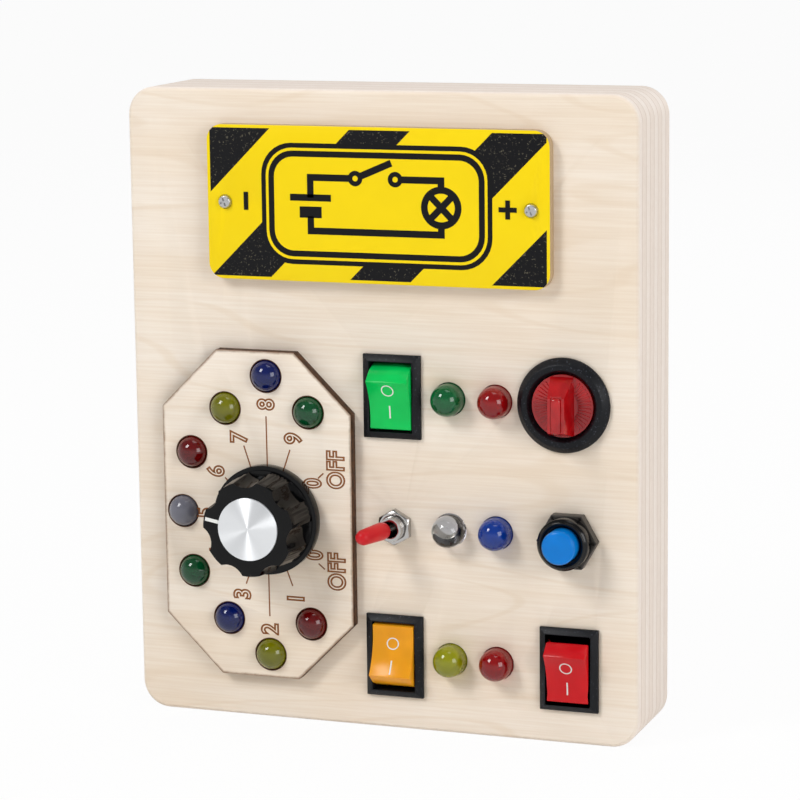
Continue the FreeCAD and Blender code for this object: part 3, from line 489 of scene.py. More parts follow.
def metal(name, colour, roughness, scratch_mm, relief):
    """Metal with fine scratches whose length and width are given in millimetres."""
    finish, shader = new_finish(name, colour, roughness, Metallic=1.0)
    fine_relief(finish, shader, grain(finish, scratch_mm, 3.0), relief, SCRATCH_HEIGHT)
    patches = grain(finish, (2.5, 2.5, 2.5), 3.0)
    wear = {0: patches, 1: 0.35, 2: 0.7, 3: roughness * 0.8, 4: roughness * 1.25}
    join(finish, node(finish, "MapRange", wear, **SMOOTH), shader, "Roughness")
    return finish


# Nickel on brass is warm and bright, zinc is greyer and duller, and tin is soft and yellowish.
plated = metal("nickel plated brass", "#B4B2B0", 0.14, (0.8, 0.8, 0.8), 0.1)
zinc = metal("zinc plated steel", "#B9B9BA", 0.3, (1.0, 1.0, 0.4), 0.2)
tin = metal("tinned brass", "#C9C6BD", 0.3, (1.0, 0.4, 1.0), 0.2)
drawn_steel = metal("drawn spring steel", "#B5B5B3", 0.28, (0.5, 2.0, 0.5), 0.2)
# Spun aluminium shows two bright wedges that meet at the middle.
spun, spun_shader = new_finish(
    "spun aluminium", "#F0F2F4", 0.42, Metallic=1.0, Anisotropic=0.95, Anisotropic_Rotation=0.25
)
join(spun, node(spun, "Tangent", direction_type="RADIAL", axis="Y"), spun_shader, "Tangent")
print("metals:", [m.name for m in (plated, zinc, tin, drawn_steel, spun)])

# %% [markdown]
# Most operators act on all that is selected, so one piece is selected alone before each of them. A
# finished piece then gets one finish and rides on one body, so that it moves with its switch.

# %% Helpers to select and settle a piece
def only(piece):
    """Select one piece and nothing else."""
    bpy.ops.object.select_all(action="DESELECT")
    piece.select_set(True)
    bpy.context.view_layer.objects.active = piece


def settle(piece, body, finish):
    """Give a finished piece its finish and its body."""
    piece.data.materials.clear()
    piece.data.materials.append(finish)
    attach(piece, body)


print("bodies to ride on:", sorted(groups))

# %% [markdown]
# Each CAD piece that shows is dressed by a welded copy: its flat triangles are joined to whole
# faces, its edges get a small rounding, as moulding, sanding or turning leaves them, and its round
# walls are shaded smooth. The copy stands for the node. The rotary knob keeps its triangles, since
# its long thin faces turn dark when they are joined.

# %% Helpers that weld and round a CAD piece
TRIANGLES_KEPT = ("rotary_knob",)
WELD_DISTANCE = 1e-6
SHARP_ANGLE = 35.0


def welded(name):
    """A welded copy of a CAD node, with its flat triangles joined to whole faces."""
    mesh = nodes[name].data.copy()
    piece = bpy.data.objects.new(name + "_eased", mesh)
    bpy.context.scene.collection.objects.link(piece)
    only(piece)
    bpy.ops.object.mode_set(mode="EDIT")
    bpy.ops.mesh.select_all(action="SELECT")
    bpy.ops.mesh.remove_doubles(threshold=WELD_DISTANCE)
    if name not in TRIANGLES_KEPT:
        bpy.ops.mesh.dissolve_limited(angle_limit=radians(0.4))
    bpy.ops.object.mode_set(mode="OBJECT")
    if mesh.has_custom_normals:
        bpy.ops.mesh.customdata_custom_splitnormals_clear()
    return piece


def rounded(piece, width_mm, sharp=SHARP_ANGLE, steps=2):
    """Round a piece's edges and shade its round walls smooth."""
    only(piece)
    if width_mm:
        bevel = piece.modifiers.new("edge", "BEVEL")
        bevel.width = width_mm * MM
        bevel.segments = steps
        bevel.limit_method = "ANGLE"
        bevel.angle_limit = radians(sharp)
        bevel.miter_outer = "MITER_ARC"
        bevel.use_clamp_overlap = True
        bpy.ops.object.modifier_apply(modifier="edge")
    bpy.ops.object.shade_smooth_by_angle(angle=radians(sharp))
    return piece


def dress(name, finish, width_mm):
    """Put an eased copy with its finish in the place of a CAD node."""
    piece = rounded(welded(name), width_mm)
    settle(piece, body_of[name], finish)
    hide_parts(name)
    return piece


print("triangles kept on:", TRIANGLES_KEPT)

# %% [markdown]
# Now every piece is named with its finish and the rounding of its edges in millimetres: a quarter
# on sanded wood and moulded plastic, and about a tenth on turned or pressed metal.

# %% Dress the pieces that show
EASED = (
    ("wooden_body", birch, 0.25),
    ("back_cover", birch, 0.25),
    ("dial_plate", charred, 0.12),
    ("sign_plate", print_ink, 0.15),
    ("green_rocker_housing", nylon, 0.15),
    ("orange_rocker_housing", nylon, 0.15),
    ("red_rocker_housing", nylon, 0.15),
    ("green_rocker", green_rocker_plastic, 0.3),
    ("orange_rocker", orange_rocker_plastic, 0.3),
    ("red_rocker", red_rocker_plastic, 0.3),
    ("toggle_bushing", plated, 0.12),
    ("toggle_nut", plated, 0.15),
    ("toggle_lever", plated, 0.1),
    ("toggle_sleeve", red_vinyl, 0.25),
    ("button_housing", satin_black, 0.15),
    ("button_nuts", nut_black, 0.2),
    ("button_cap", blue_plastic, 0.3),
    ("rotary_housing", nylon, 0.2),
    ("rotary_knob", clear_red, 0.12),
    ("selector_nut", plated, 0.2),
    ("selector_knob", gloss_black, 0.3),
    ("selector_cap", spun, 0.1),
    ("battery_tray", grey_plastic, 0.2),
    ("battery_door", grey_plastic, 0.3),
    ("sign_screws", zinc, 0.1),
    ("cover_screws", zinc, 0.1),
    ("battery_door_screws", zinc, 0.1),
)
for name, finish, ease in EASED:
    dress(name, finish, ease)
print("dressed pieces:", len(EASED))

# %% [markdown]
# Pieces that hardly show, or not at all, keep their CAD mesh, whose shape is right. They get their
# finish in the mesh's own material list, and their round walls are shaded smooth.

# %% Finish the pieces inside
AS_THEY_ARE = (
    ("selector_pointer", white_paint), ("selector_shaft", plated), ("selector_set_screw", zinc),
    ("selector_switch", nylon), ("toggle_body", nylon), ("battery_contacts", drawn_steel),
    ("upper_cell", jacket), ("lower_cell", jacket),
    ("led_leads", tin), ("rocker_terminals", tin), ("toggle_terminals", tin),
    ("button_terminals", tin), ("rotary_terminals", tin), ("selector_terminals", tin),
)
for name, finish in AS_THEY_ARE:
    nodes[name].data.materials.clear()
    nodes[name].data.materials.append(finish)
    only(nodes[name])
    bpy.ops.object.shade_smooth_by_angle(angle=radians(SHARP_ANGLE))
print("pieces kept as they are:", len(AS_THEY_ARE))

# %% [markdown]
# Inside the push button a spring stands between the cap's stem and the floor of the housing. When
# the cap goes in, the real spring gets shorter by the same way, and its back end stays on the floor.
# Here it is dressed without rounding and given a mesh of its own.

# %% Dress the button's spring
coil = dress("button_spring", drawn_steel, 0)
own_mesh(coil)

# %% [markdown]
# New pieces are shaped by hand in edit mode. Faces and points are picked by their place, so that an
# operator acts on them alone, and a finished piece has its place moved into its mesh. What repeats
# is modelled once as a pattern, and copied.

# %% Helpers for edit mode
def edit(piece, mode="VERT"):
    """Enter edit mode on one piece with nothing selected."""
    only(piece)
    bpy.ops.object.mode_set(mode="EDIT")
    bpy.ops.mesh.select_mode(type=mode)
    bpy.ops.mesh.select_all(action="DESELECT")


def pick(piece, test, kind="verts"):
    """Select what passes the test by its place, then return to edit mode."""
    bpy.ops.object.mode_set(mode="OBJECT")
    mesh = piece.data
    chosen = mesh.vertices if kind == "verts" else mesh.polygons
    for element in list(mesh.vertices) + list(mesh.edges) + list(mesh.polygons):
        element.select = False
    for element in chosen:
        element.select = bool(test(element.co if kind == "verts" else element.center))
    bpy.ops.object.mode_set(mode="EDIT")


def apply_place(piece):
    """Move a piece's place, turn and scale into its mesh."""
    only(piece)
    bpy.ops.object.transform_apply(location=True, rotation=True, scale=True)


def copy_of(pattern, name):
    """A copy of a finished pattern, with a mesh of its own."""
    made = bpy.data.objects.new(name, pattern.data.copy())
    bpy.context.scene.collection.objects.link(made)
    return made


# %% [markdown]
# A lamp is a moulded epoxy lens on a round foot, 8 mm across. The lens is a ball cut at its middle
# and drawn back as a barrel, and its last ring is widened and drawn back again as the foot.

# %% Model one lamp lens
LAMP_RADIUS = 4.0 * MM
FOOT_RADIUS = 4.7 * MM
FOOT_DEPTH = 1.6 * MM
FOOT_SPREAD = FOOT_RADIUS / LAMP_RADIUS
lamp_low, lamp_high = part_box("green_led")
BARREL_LENGTH = lamp_high.y - lamp_low.y - FOOT_DEPTH - LAMP_RADIUS

bpy.ops.mesh.primitive_uv_sphere_add(
    segments=48, ring_count=24, radius=LAMP_RADIUS, rotation=(pi / 2, 0, 0)
)
lens = bpy.context.object
lens.name = "lens_pattern"
apply_place(lens)
edit(lens)
bpy.ops.mesh.select_all(action="SELECT")
bpy.ops.mesh.bisect(plane_co=(0, 0, 0), plane_no=(0, 1, 0), clear_outer=True)
pick(lens, lambda co: abs(co.y) < WELD_DISTANCE)
bpy.ops.mesh.extrude_region_move(TRANSFORM_OT_translate={"value": (0, BARREL_LENGTH, 0)})
bpy.ops.mesh.extrude_region_move()
bpy.ops.transform.resize(value=(FOOT_SPREAD, 1, FOOT_SPREAD))
bpy.ops.mesh.extrude_region_move(TRANSFORM_OT_translate={"value": (0, FOOT_DEPTH, 0)})
bpy.ops.mesh.edge_face_add()
bpy.ops.mesh.select_all(action="SELECT")
bpy.ops.mesh.normals_make_consistent(inside=False)
bpy.ops.object.mode_set(mode="OBJECT")
rounded(lens, 0.12, 40)
print("lens faces:", len(lens.data.polygons))

# %% [markdown]
# Inside the lens stand two flat leads. The wider one ends in a small cup that holds the chip: a
# cone whose front face is inset and pushed in.

# %% Model the leads in a lamp
bpy.ops.mesh.primitive_cube_add(size=1)
leads = bpy.context.object
leads.name = "leads_pattern"
leads.scale = (2.4 * MM, 3.2 * MM, 0.5 * MM)
leads.location = (-1.0 * MM, 4.6 * MM, 0)
apply_place(leads)
bpy.ops.mesh.primitive_cube_add(
    size=1, scale=(1.3 * MM, 3.0 * MM, 0.5 * MM), location=(1.4 * MM, 4.7 * MM, 0)
)
post = bpy.context.object
apply_place(post)
bpy.ops.mesh.primitive_cone_add(
    vertices=20, radius1=1.35 * MM, radius2=0.7 * MM, depth=1.2 * MM,
    location=(-0.9 * MM, 2.9 * MM, 0), rotation=(-pi / 2, 0, 0)
)
cup = bpy.context.object
apply_place(cup)
edit(cup)
pick(cup, lambda co: co.y < 2.4 * MM, "faces")
bpy.ops.mesh.inset(thickness=0.2 * MM)
bpy.ops.transform.translate(value=(0, 0.7 * MM, 0))
bpy.ops.object.mode_set(mode="OBJECT")


def merged(name, parts):
    """Join parts to one piece with the given name."""
    bpy.ops.object.select_all(action="DESELECT")
    for part in parts:
        part.select_set(True)
    bpy.context.view_layer.objects.active = parts[0]
    bpy.ops.object.join()
    parts[0].name = name
    return parts[0]


rounded(merged("leads_pattern", (leads, post, cup)), 0.06, 40, 1)
print("lead faces:", len(leads.data.polygons))

# %% [markdown]
# The lens is tinted epoxy: clear enough for light to pass, with a strong colour and a wet shine.
# The dye also scatters some light back, so the lens reads as a full colour and not as plain glass.
# A shader that is part glass gives that, and its low roughness keeps the window's shine crisp.

# %% Tinted epoxy
def epoxy(name, tint, clearness=0.5, roughness=0.04):
    """Tinted epoxy: part of the light goes through it, the rest is scattered by its dye."""
    return new_finish(
        name, tint, roughness, IOR=1.53, Transmission_Weight=clearness, Specular_IOR_Level=0.38
    )[0]


green_epoxy = epoxy("green epoxy", "#00703A")
deep_green_epoxy = epoxy("deep green epoxy", "#005A2E")
red_epoxy = epoxy("red epoxy", "#A80206")
deep_red_epoxy = epoxy("deep red epoxy", "#780204")
blue_epoxy = epoxy("blue epoxy", "#0640AC")
navy_epoxy = epoxy("navy epoxy", "#061C6C")
olive_epoxy = epoxy("olive epoxy", "#8C8C04")
bright_olive_epoxy = epoxy("bright olive epoxy", "#AEB010")
# Undyed epoxy is as clear as water, and a hazy batch looks like smoke.
water_epoxy = epoxy("water clear epoxy", "#DEDFEA", 1.0)
smoke_epoxy = epoxy("hazy clear epoxy", "#7C7C88", 0.25, 0.08)
print("epoxies:", len([m for m in bpy.data.materials if "epoxy" in m.name]))

# %% [markdown]
# The finished lens and its leads are copied to all fifteen places. Each copy has its own mesh, which
# is moved there, and the lens stands for the lamp's CAD node.

# %% Set the fifteen lamps
LAMP_TINTS = {
    "dial_led_1": deep_red_epoxy, "dial_led_2": olive_epoxy, "dial_led_3": navy_epoxy,
    "dial_led_4": deep_green_epoxy, "dial_led_5": smoke_epoxy, "dial_led_6": deep_red_epoxy,
    "dial_led_7": olive_epoxy, "dial_led_8": navy_epoxy, "dial_led_9": deep_green_epoxy,
    "green_led": green_epoxy, "red_led": red_epoxy, "clear_led": water_epoxy,
    "blue_led": blue_epoxy, "yellow_led": bright_olive_epoxy, "lower_red_led": red_epoxy,
}
for name, tint in LAMP_TINTS.items():
    low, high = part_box(name)
    place = Vector(((low.x + high.x) / 2, low.y + LAMP_RADIUS, (low.z + high.z) / 2))
    lens_row = (lens, "_lens", tint, slot_of[name])
    leads_row = (leads, "_frame", tin, "tinned_leads")
    for pattern, suffix, finish, slot in (lens_row, leads_row):
        copied = copy_of(pattern, name + suffix)
        copied.data.transform(Matrix.Translation(place))
        settle(copied, "board", finish)
        if pattern is lens:
            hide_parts(name)
for pattern in (lens, leads):
    bpy.data.objects.remove(pattern)
print("lamps:", len(LAMP_TINTS))

# %% [markdown]
# Every mark on the board is a thin raised or sunken line: the laser burns outlined numbers into the
# dial plate, and printers lay white and black ink on switches and sign. Blender's own font gives the
# letters. Outlines are text curves with a fine round wire instead of a fill. Each mark is made a
# mesh first and is then laid on its surface.

# %% Helpers for printed and engraved marks
FACE_UP = Matrix.Rotation(pi / 2, 4, "X")
DIAL_FACE = DIAL_LOW.y
SIGN_FACE = SIGN_LOW.y
ENGRAVED_LINE = 0.5 * MM
LINE_FLATTENED = 0.25
# A font's size is a whole line's height, which is this many times the height of one figure.
FONT_OVER_FIGURE = 1.4


def laid(piece, x, z, face, turn=0.0):
    """Turn a flat mark to face the front, at a place on the surface whose y is face."""
    piece.data.transform(Matrix.Translation((x, face, z)) @ FACE_UP @ Matrix.Rotation(turn, 4, "Z"))
    return piece


def lettered(name, text, height_mm, width):
    """The burnt outline of a word, centred on its place."""
    bpy.ops.object.text_add()
    word = bpy.context.object
    word.name = name
    word.data.body = text
    word.data.size = height_mm * MM * FONT_OVER_FIGURE
    word.data.align_x = "CENTER"
    word.data.align_y = "CENTER"
    word.data.space_character = 1.05
    word.data.resolution_u = 6
    word.data.fill_mode = "NONE"
    word.data.bevel_depth = ENGRAVED_LINE / 2
    word.data.bevel_resolution = 1
    word.data.offset = 0.12 * MM
    only(word)
    bpy.ops.object.convert(target="MESH")
    outline = bpy.context.object
    outline.data.transform(Matrix.Diagonal((width, 1.0, 1.0, 1.0)))
    outline.data.transform(Matrix.Diagonal((1.0, 1.0, LINE_FLATTENED, 1.0)))
    return outline


def stroke(name, width_mm, start, end, face, thickness_mm):
    """A straight line of ink or char between two (x, z) points given in millimetres."""
    (x0, z0), (x1, z1) = start, end
    length = sqrt((x1 - x0) ** 2 + (z1 - z0) ** 2)
    bpy.ops.mesh.primitive_cube_add(size=MM)
    piece = bpy.context.object
    piece.name = name
    piece.data.transform(Matrix.Diagonal((length, width_mm, thickness_mm, 1.0)))
    rounded(piece, min(width_mm, thickness_mm) * 0.3, SHARP_ANGLE, 1)
    return laid(piece, (x0 + x1) / 2 * MM, (z0 + z1) / 2 * MM, face, atan2(z1 - z0, x1 - x0))


print("dial face at y", round(DIAL_FACE / MM, 2), "mm, sign face at y", round(SIGN_FACE / MM, 2), "mm")

# %% [markdown]
# The dial reads like a clock that lies on its side: its numbers are turned a quarter to the left.
# They stand between the lamps and the knob, each on a short line that points at the middle, and
# both zeros carry the word OFF.

# %% Burn the dial's numbers and lines
QUARTER = pi / 2
NUMBER_HEIGHT = 4.4
WORD_HEIGHT = 4.5
FIGURES = (
    ("8", 0.92, -29.1, 81.8), ("7", 0.92, -36.6, 73.0), ("9", 0.92, -21.9, 73.5), ("6", 0.92, -43.1, 64.0),
    ("5", 0.92, -46.4, 53.0), ("4", 0.92, -42.9, 42.8), ("3", 0.92, -36.5, 32.6), ("2", 0.92, -29.1, 24.0),
    ("1", 0.92, -21.9, 32.4), ("0", 0.8, -16.8, 62.4), ("0", 0.8, -16.7, 44.0),
    ("OFF", 0.84, -10.6, 66.1), ("OFF", 0.84, -10.7, 40.1),
)
DIAL_TICKS = (
    ((-29.3, 78.8), (-29.2, 66.5)), ((-29.4, 38.5), (-29.3, 27.3)), ((-35.5, 71.0), (-33.2, 64.0)),
    ((-23.0, 70.6), (-25.2, 64.2)), ((-40.8, 62.5), (-39.2, 60.8)), ((-35.6, 35.3), (-34.0, 39.5)),
    ((-22.9, 35.6), (-24.9, 41.0)), ((-15.6, 63.7), (-14.1, 65.1)), ((-15.8, 41.9), (-14.1, 40.5)),
)
burnt = []
for text, width, x_mm, z_mm in FIGURES:
    height_mm = WORD_HEIGHT if text == "OFF" else NUMBER_HEIGHT
    figure = lettered("figure", text, height_mm, width)
    burnt.append(laid(figure, x_mm * MM, z_mm * MM, DIAL_FACE, QUARTER))
for start, end in DIAL_TICKS:
    burnt.append(stroke("tick", 0.36, start, end, DIAL_FACE, 0.06))
settle(merged("dial_engraving", burnt), "board", brown_char)
print("burnt figures and lines:", len(burnt))

# %% [markdown]
# Ink on a hollow face can't be laid flat. A ring or a bar is drawn in front of the board, where
# nothing is in its way, and can then be pressed back on to a curved face with a shrinkwrap.

# %% Helpers for rings and bars of ink
DRAWING_PLANE = FRONT - 20 * MM
INK_GAP = 0.03 * MM


def pressed_on(mark, target):
    """Project a flat mark backwards on to a piece."""
    only(mark)
    wrap = mark.modifiers.new("press", "SHRINKWRAP")
    wrap.target = target
    wrap.wrap_method = "PROJECT"
    wrap.use_project_y = True
    wrap.use_positive_direction = True
    wrap.use_negative_direction = False
    wrap.offset = INK_GAP
    bpy.ops.object.modifier_apply(modifier="press")
    return mark


def flat_ring(name, outer_mm, width_mm, x, z, squash=1.0, sides=40):
    """A thin flat ring of ink, drawn in front of the board."""
    bpy.ops.mesh.primitive_circle_add(vertices=sides, radius=outer_mm * MM, fill_type="NGON")
    piece = bpy.context.object
    piece.name = name
    edit(piece, "FACE")
    bpy.ops.mesh.select_all(action="SELECT")
    bpy.ops.mesh.inset(thickness=width_mm * MM)
    bpy.ops.mesh.delete(type="FACE")
    bpy.ops.object.mode_set(mode="OBJECT")
    piece.data.transform(Matrix.Diagonal((squash, 1.0, 1.0, 1.0)))
    return laid(piece, x, z, DRAWING_PLANE)


def flat_bar(name, width_mm, height_mm, x, z):
    """A thin upright bar of ink, divided so that it can follow a curve."""
    bpy.ops.mesh.primitive_grid_add(x_subdivisions=1, y_subdivisions=8, size=MM)
    piece = bpy.context.object
    piece.name = name
    piece.data.transform(Matrix.Diagonal((width_mm, height_mm, 1.0, 1.0)))
    return laid(piece, x, z, DRAWING_PLANE)


print("marks are drawn at y", round(DRAWING_PLANE / MM, 1), "mm")

# %% [markdown]
# Each rocker carries a white O over a white I. Both are pressed on to its face, so they follow the
# hollow, and a thin solid skin gives them the body of real paint.

# %% Print the rockers
# Heights of the O and of the I in millimetres, from the middle of the rocker's housing.
ROCKER_MARKS = (("green", 2.0, -3.6), ("orange", 3.5, -2.2), ("red", 1.05, -4.4))
for colour, ring_z, bar_z in ROCKER_MARKS:
    name = colour + "_rocker"
    low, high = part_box(name)
    centre_x = (low.x + high.x) / 2
    housing_low, housing_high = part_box(name + "_housing")
    centre_z = (housing_low.z + housing_high.z) / 2
    face = bpy.data.objects[name + "_eased"]
    ring = pressed_on(flat_ring("ring", 1.5, 0.26, centre_x, centre_z + ring_z * MM, 1.08), face)
    line = pressed_on(flat_bar("line", 0.36, 3.2, centre_x, centre_z + bar_z * MM), face)
    mark = merged(colour + "_rocker_print", [ring, line])
    only(mark)
    skin = mark.modifiers.new("ink", "SOLIDIFY")
    skin.thickness = INK_GAP
    bpy.ops.object.modifier_apply(modifier="ink")
    settle(mark, body_of[name], white_paint)
print("printed rockers:", len(ROCKER_MARKS))

# %% [markdown]
# The sign's middle carries a plain panel of our own: a rounded yellow field with a double black
# outline. Four flat fields, each a little smaller and a little further forward, make it.

# %% Print the sign's panel
SIGN_MIDDLE_X = (SIGN_LOW.x + SIGN_HIGH.x) / 2 / MM
SIGN_MIDDLE_Z = (SIGN_LOW.z + SIGN_HIGH.z) / 2 / MM


def panel(name, width_mm, height_mm, corner_mm, lift_mm):
    """A flat rounded field of ink, lift_mm above the sign's face."""
    bpy.ops.mesh.primitive_plane_add(size=MM)
    piece = bpy.context.object
    piece.name = name
    piece.data.transform(Matrix.Diagonal((width_mm, height_mm, 1.0, 1.0)))
    edit(piece)
    bpy.ops.mesh.select_all(action="SELECT")
    bpy.ops.mesh.bevel(offset=corner_mm * MM, segments=8, affect="VERTICES")
    bpy.ops.object.mode_set(mode="OBJECT")
    return laid(piece, SIGN_MIDDLE_X * MM, SIGN_MIDDLE_Z * MM, SIGN_FACE - lift_mm * MM)


outer_black = panel("panel_outline", 60.0, 30.0, 8.0, 0.02)
outer_yellow = panel("panel_gap", 57.6, 27.6, 7.0, 0.035)
inner_black = panel("panel_inner_outline", 56.2, 26.2, 6.4, 0.05)
inner_yellow = panel("panel_field", 53.2, 23.2, 5.0, 0.065)
settle(merged("sign_panel_black", [outer_black, inner_black]), "board", black_ink)
settle(merged("sign_panel_yellow", [outer_yellow, inner_yellow]), "board", yellow_ink)
print("panel middle:", round(SIGN_MIDDLE_X, 2), round(SIGN_MIDDLE_Z, 2), "mm")

# %% [markdown]
# Symbols are made of straight lines and rings of ink, whose places count from the sign's middle.
# They stand a little in front of the panel's fields, so that nothing flickers through them.

# %% Helpers for the sign's symbols
LINE_MM = 1.7
INK_FACE = SIGN_FACE - 0.09 * MM


def sign_line(x0, z0, x1, z1, width_mm=LINE_MM):
    """A straight line of ink, in millimetres from the sign's middle."""
    start = (SIGN_MIDDLE_X + x0, SIGN_MIDDLE_Z + z0)
    end = (SIGN_MIDDLE_X + x1, SIGN_MIDDLE_Z + z1)
    return stroke("symbol", width_mm, start, end, INK_FACE, 0.03)


def sign_ring(radius_mm, x_mm, z_mm, width_mm=LINE_MM):
    """A ring of ink, in millimetres from the sign's middle."""
    x, z = (SIGN_MIDDLE_X + x_mm) * MM, (SIGN_MIDDLE_Z + z_mm) * MM
    ring = flat_ring("symbol", radius_mm, width_mm, x, z)
    ring.data.transform(Matrix.Translation((0, INK_FACE - DRAWING_PLANE, 0)))
    return ring


print("symbols lie", round((SIGN_FACE - INK_FACE) / MM, 2), "mm above the sign")

# %% [markdown]
# On the panel stands the plainest circuit of any school book: a cell, a switch and a lamp joined in a
# ring by one wire. A bar and a cross beside the panel mark the two poles. Lines that cross are
# broken at the crossing, so that no two faces lie in one place.

# %% Print the circuit
HALF_LINE = LINE_MM / 2
THIN_LINE = 1.2
PLATE_LINE = 2.8
WIRE_X, WIRE_Z = 17.0, 6.6
LAMP_RING = 5.2
CROSS = 3.2
CROSS_GAP = 0.6
CONTACT_RING = 1.9
CONTACT_X = 5.2
MINUS_X, PLUS_X = -34.2, 33.9
PLUS_ARM = 2.3
cell = [
    sign_line(-WIRE_X, -WIRE_Z - HALF_LINE, -WIRE_X, -3.0),
    sign_line(-WIRE_X, 1.6, -WIRE_X, WIRE_Z + HALF_LINE),
    sign_line(-WIRE_X - 5.4, 1.6, -WIRE_X + 5.4, 1.6),
    sign_line(-WIRE_X - 2.9, -2.0, -WIRE_X + 2.9, -2.0, PLATE_LINE),
]
switch = [
    sign_line(-WIRE_X + HALF_LINE, WIRE_Z, -6.6, WIRE_Z),
    sign_line(6.6, WIRE_Z, WIRE_X - HALF_LINE, WIRE_Z),
    sign_ring(CONTACT_RING, -CONTACT_X, WIRE_Z, THIN_LINE),
    sign_ring(CONTACT_RING, CONTACT_X, WIRE_Z, THIN_LINE),
    sign_line(-3.8, WIRE_Z + 0.6, 4.2, WIRE_Z + 4.0),
]
bulb = [
    sign_line(WIRE_X, WIRE_Z + HALF_LINE, WIRE_X, LAMP_RING - 0.5),
    sign_line(WIRE_X, 0.5 - LAMP_RING, WIRE_X, -WIRE_Z - HALF_LINE),
    sign_ring(LAMP_RING, WIRE_X, 0),
    sign_line(WIRE_X - CROSS, -CROSS, WIRE_X + CROSS, CROSS),
    sign_line(WIRE_X - CROSS, CROSS, WIRE_X - CROSS_GAP, CROSS_GAP),
    sign_line(WIRE_X + CROSS_GAP, -CROSS_GAP, WIRE_X + CROSS, -CROSS),
    sign_line(-WIRE_X + HALF_LINE, -WIRE_Z, WIRE_X - HALF_LINE, -WIRE_Z),
]
poles = [
    sign_line(MINUS_X, -1.9, MINUS_X, 2.6, THIN_LINE),
    sign_line(PLUS_X, -PLUS_ARM, PLUS_X, PLUS_ARM, THIN_LINE),
    sign_line(PLUS_X - PLUS_ARM, 0, PLUS_X - CROSS_GAP, 0, THIN_LINE),
    sign_line(PLUS_X + CROSS_GAP, 0, PLUS_X + PLUS_ARM, 0, THIN_LINE),
]
symbols = cell + switch + bulb + poles
print("lines of the circuit:", len(symbols))
settle(merged("sign_symbols", symbols), "board", black_ink)

# %% [markdown]
# Each hole in the dial plate was burnt by the laser too, so a thin dark rim of char shows round
# every lamp. One flat ring is made for each lamp of the dial and laid on the plate.

# %% Char round the dial's holes
RIM_RADIUS = 4.32
RIM_WIDTH = 0.2
RIM_FACE = DIAL_FACE - 0.02 * MM
rims = []
for number in range(1, 10):
    low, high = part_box("dial_led_" + str(number))
    rim_x, rim_z = (low.x + high.x) / 2, (low.z + high.z) / 2
    rim = flat_ring("rim", RIM_RADIUS, RIM_WIDTH, rim_x, rim_z, 1.0, 48)
    rim.data.transform(Matrix.Translation((0, RIM_FACE - DRAWING_PLANE, 0)))
    rims.append(rim)
print("char rims:", len(rims))
settle(merged("dial_hole_rims", rims), "board", dark_char)

# %% [markdown]
# The knob of the rotary switch has fine ridges that spread like rays on both sides of the grip, and
# a raised bar on the grip points at the setting. One ridge is a small rounded bar, which is copied
# round the disc, except where the grip stands.

# %% Ridges and pointer of the rotary switch
knob_low, knob_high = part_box("rotary_knob")
KNOB_X, KNOB_Z = (knob_low.x + knob_high.x) / 2, (knob_low.z + knob_high.z) / 2
DISC_FACE = FRONT - 1.4 * MM
RIDGE_COUNT = 44
RIDGE_SIZE = (3.3, 0.42, 0.36)
RIDGE_RADIUS = 5.6 * MM
GRIP_SHARE = 0.56
POINTER_SIZE = (2.5, 8.8, 1.5)
bpy.ops.mesh.primitive_cube_add(size=MM)
one_ridge = bpy.context.object
one_ridge.data.transform(Matrix.Diagonal((*RIDGE_SIZE, 1.0)))
rounded(one_ridge, 0.14)
ridges = []
for step in range(RIDGE_COUNT):
    angle = 2 * pi * (step + 0.5) / RIDGE_COUNT
    if abs(cos(angle)) >= GRIP_SHARE:
        ridge = copy_of(one_ridge, "ridge")
        ridge.data.transform(Matrix.Rotation(angle, 4, "Z") @ Matrix.Translation((RIDGE_RADIUS, 0, 0)))
        ridges.append(laid(ridge, KNOB_X, KNOB_Z, DISC_FACE - 0.05 * MM))
bpy.data.objects.remove(one_ridge)
print("ridges:", len(ridges))
settle(merged("rotary_ridges", ridges), body_of["rotary_knob"], clear_red)
bpy.ops.mesh.primitive_cube_add(size=MM)
pointer = bpy.context.object
pointer.name = "rotary_pointer"
pointer.data.transform(Matrix.Diagonal((*POINTER_SIZE, 1.0)))
rounded(pointer, 0.7, SHARP_ANGLE, 5)
laid(pointer, KNOB_X, KNOB_Z - 1.6 * MM, knob_low.y + 0.15 * MM)
settle(pointer, body_of["rotary_knob"], clear_red)

# %% [markdown]
# The push button's collar ends in a rounded ring with a groove inside it, where the cap slides. A thin
# torus on the collar's front makes that ring.

# %% Ring on the button's collar
COLLAR_RADIUS = 5.5 * MM
COLLAR_ROUNDING = 0.42 * MM


def torus(radius, thickness, sides, thickness_sides):
    """A smooth ring that faces the front, to be moved to its place."""
    bpy.ops.mesh.primitive_torus_add(
        major_radius=radius, minor_radius=thickness, major_segments=sides,
        minor_segments=thickness_sides, rotation=(pi / 2, 0, 0)
    )
    made = bpy.context.object
    apply_place(made)
    bpy.ops.object.shade_smooth()
    return made


collar_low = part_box("button_housing")[0]
cap_low, cap_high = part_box("button_cap")
CAP_X, CAP_Z = (cap_low.x + cap_high.x) / 2, (cap_low.z + cap_high.z) / 2
collar_ring = torus(COLLAR_RADIUS, COLLAR_ROUNDING, 72, 12)
collar_ring.name = "button_collar_ring"
collar_ring.data.transform(Matrix.Translation((CAP_X, collar_low.y + 0.2 * MM, CAP_Z)))
settle(collar_ring, "board", satin_black)
print("collar ring across:", round(2 * COLLAR_RADIUS / MM, 1), "mm")

# %% [markdown]
# The button's nut has a small pit near each corner, left by the mould. A bar turned on its edge is
# cut out of the nut's front at every corner, and the corners are found as its outermost points.

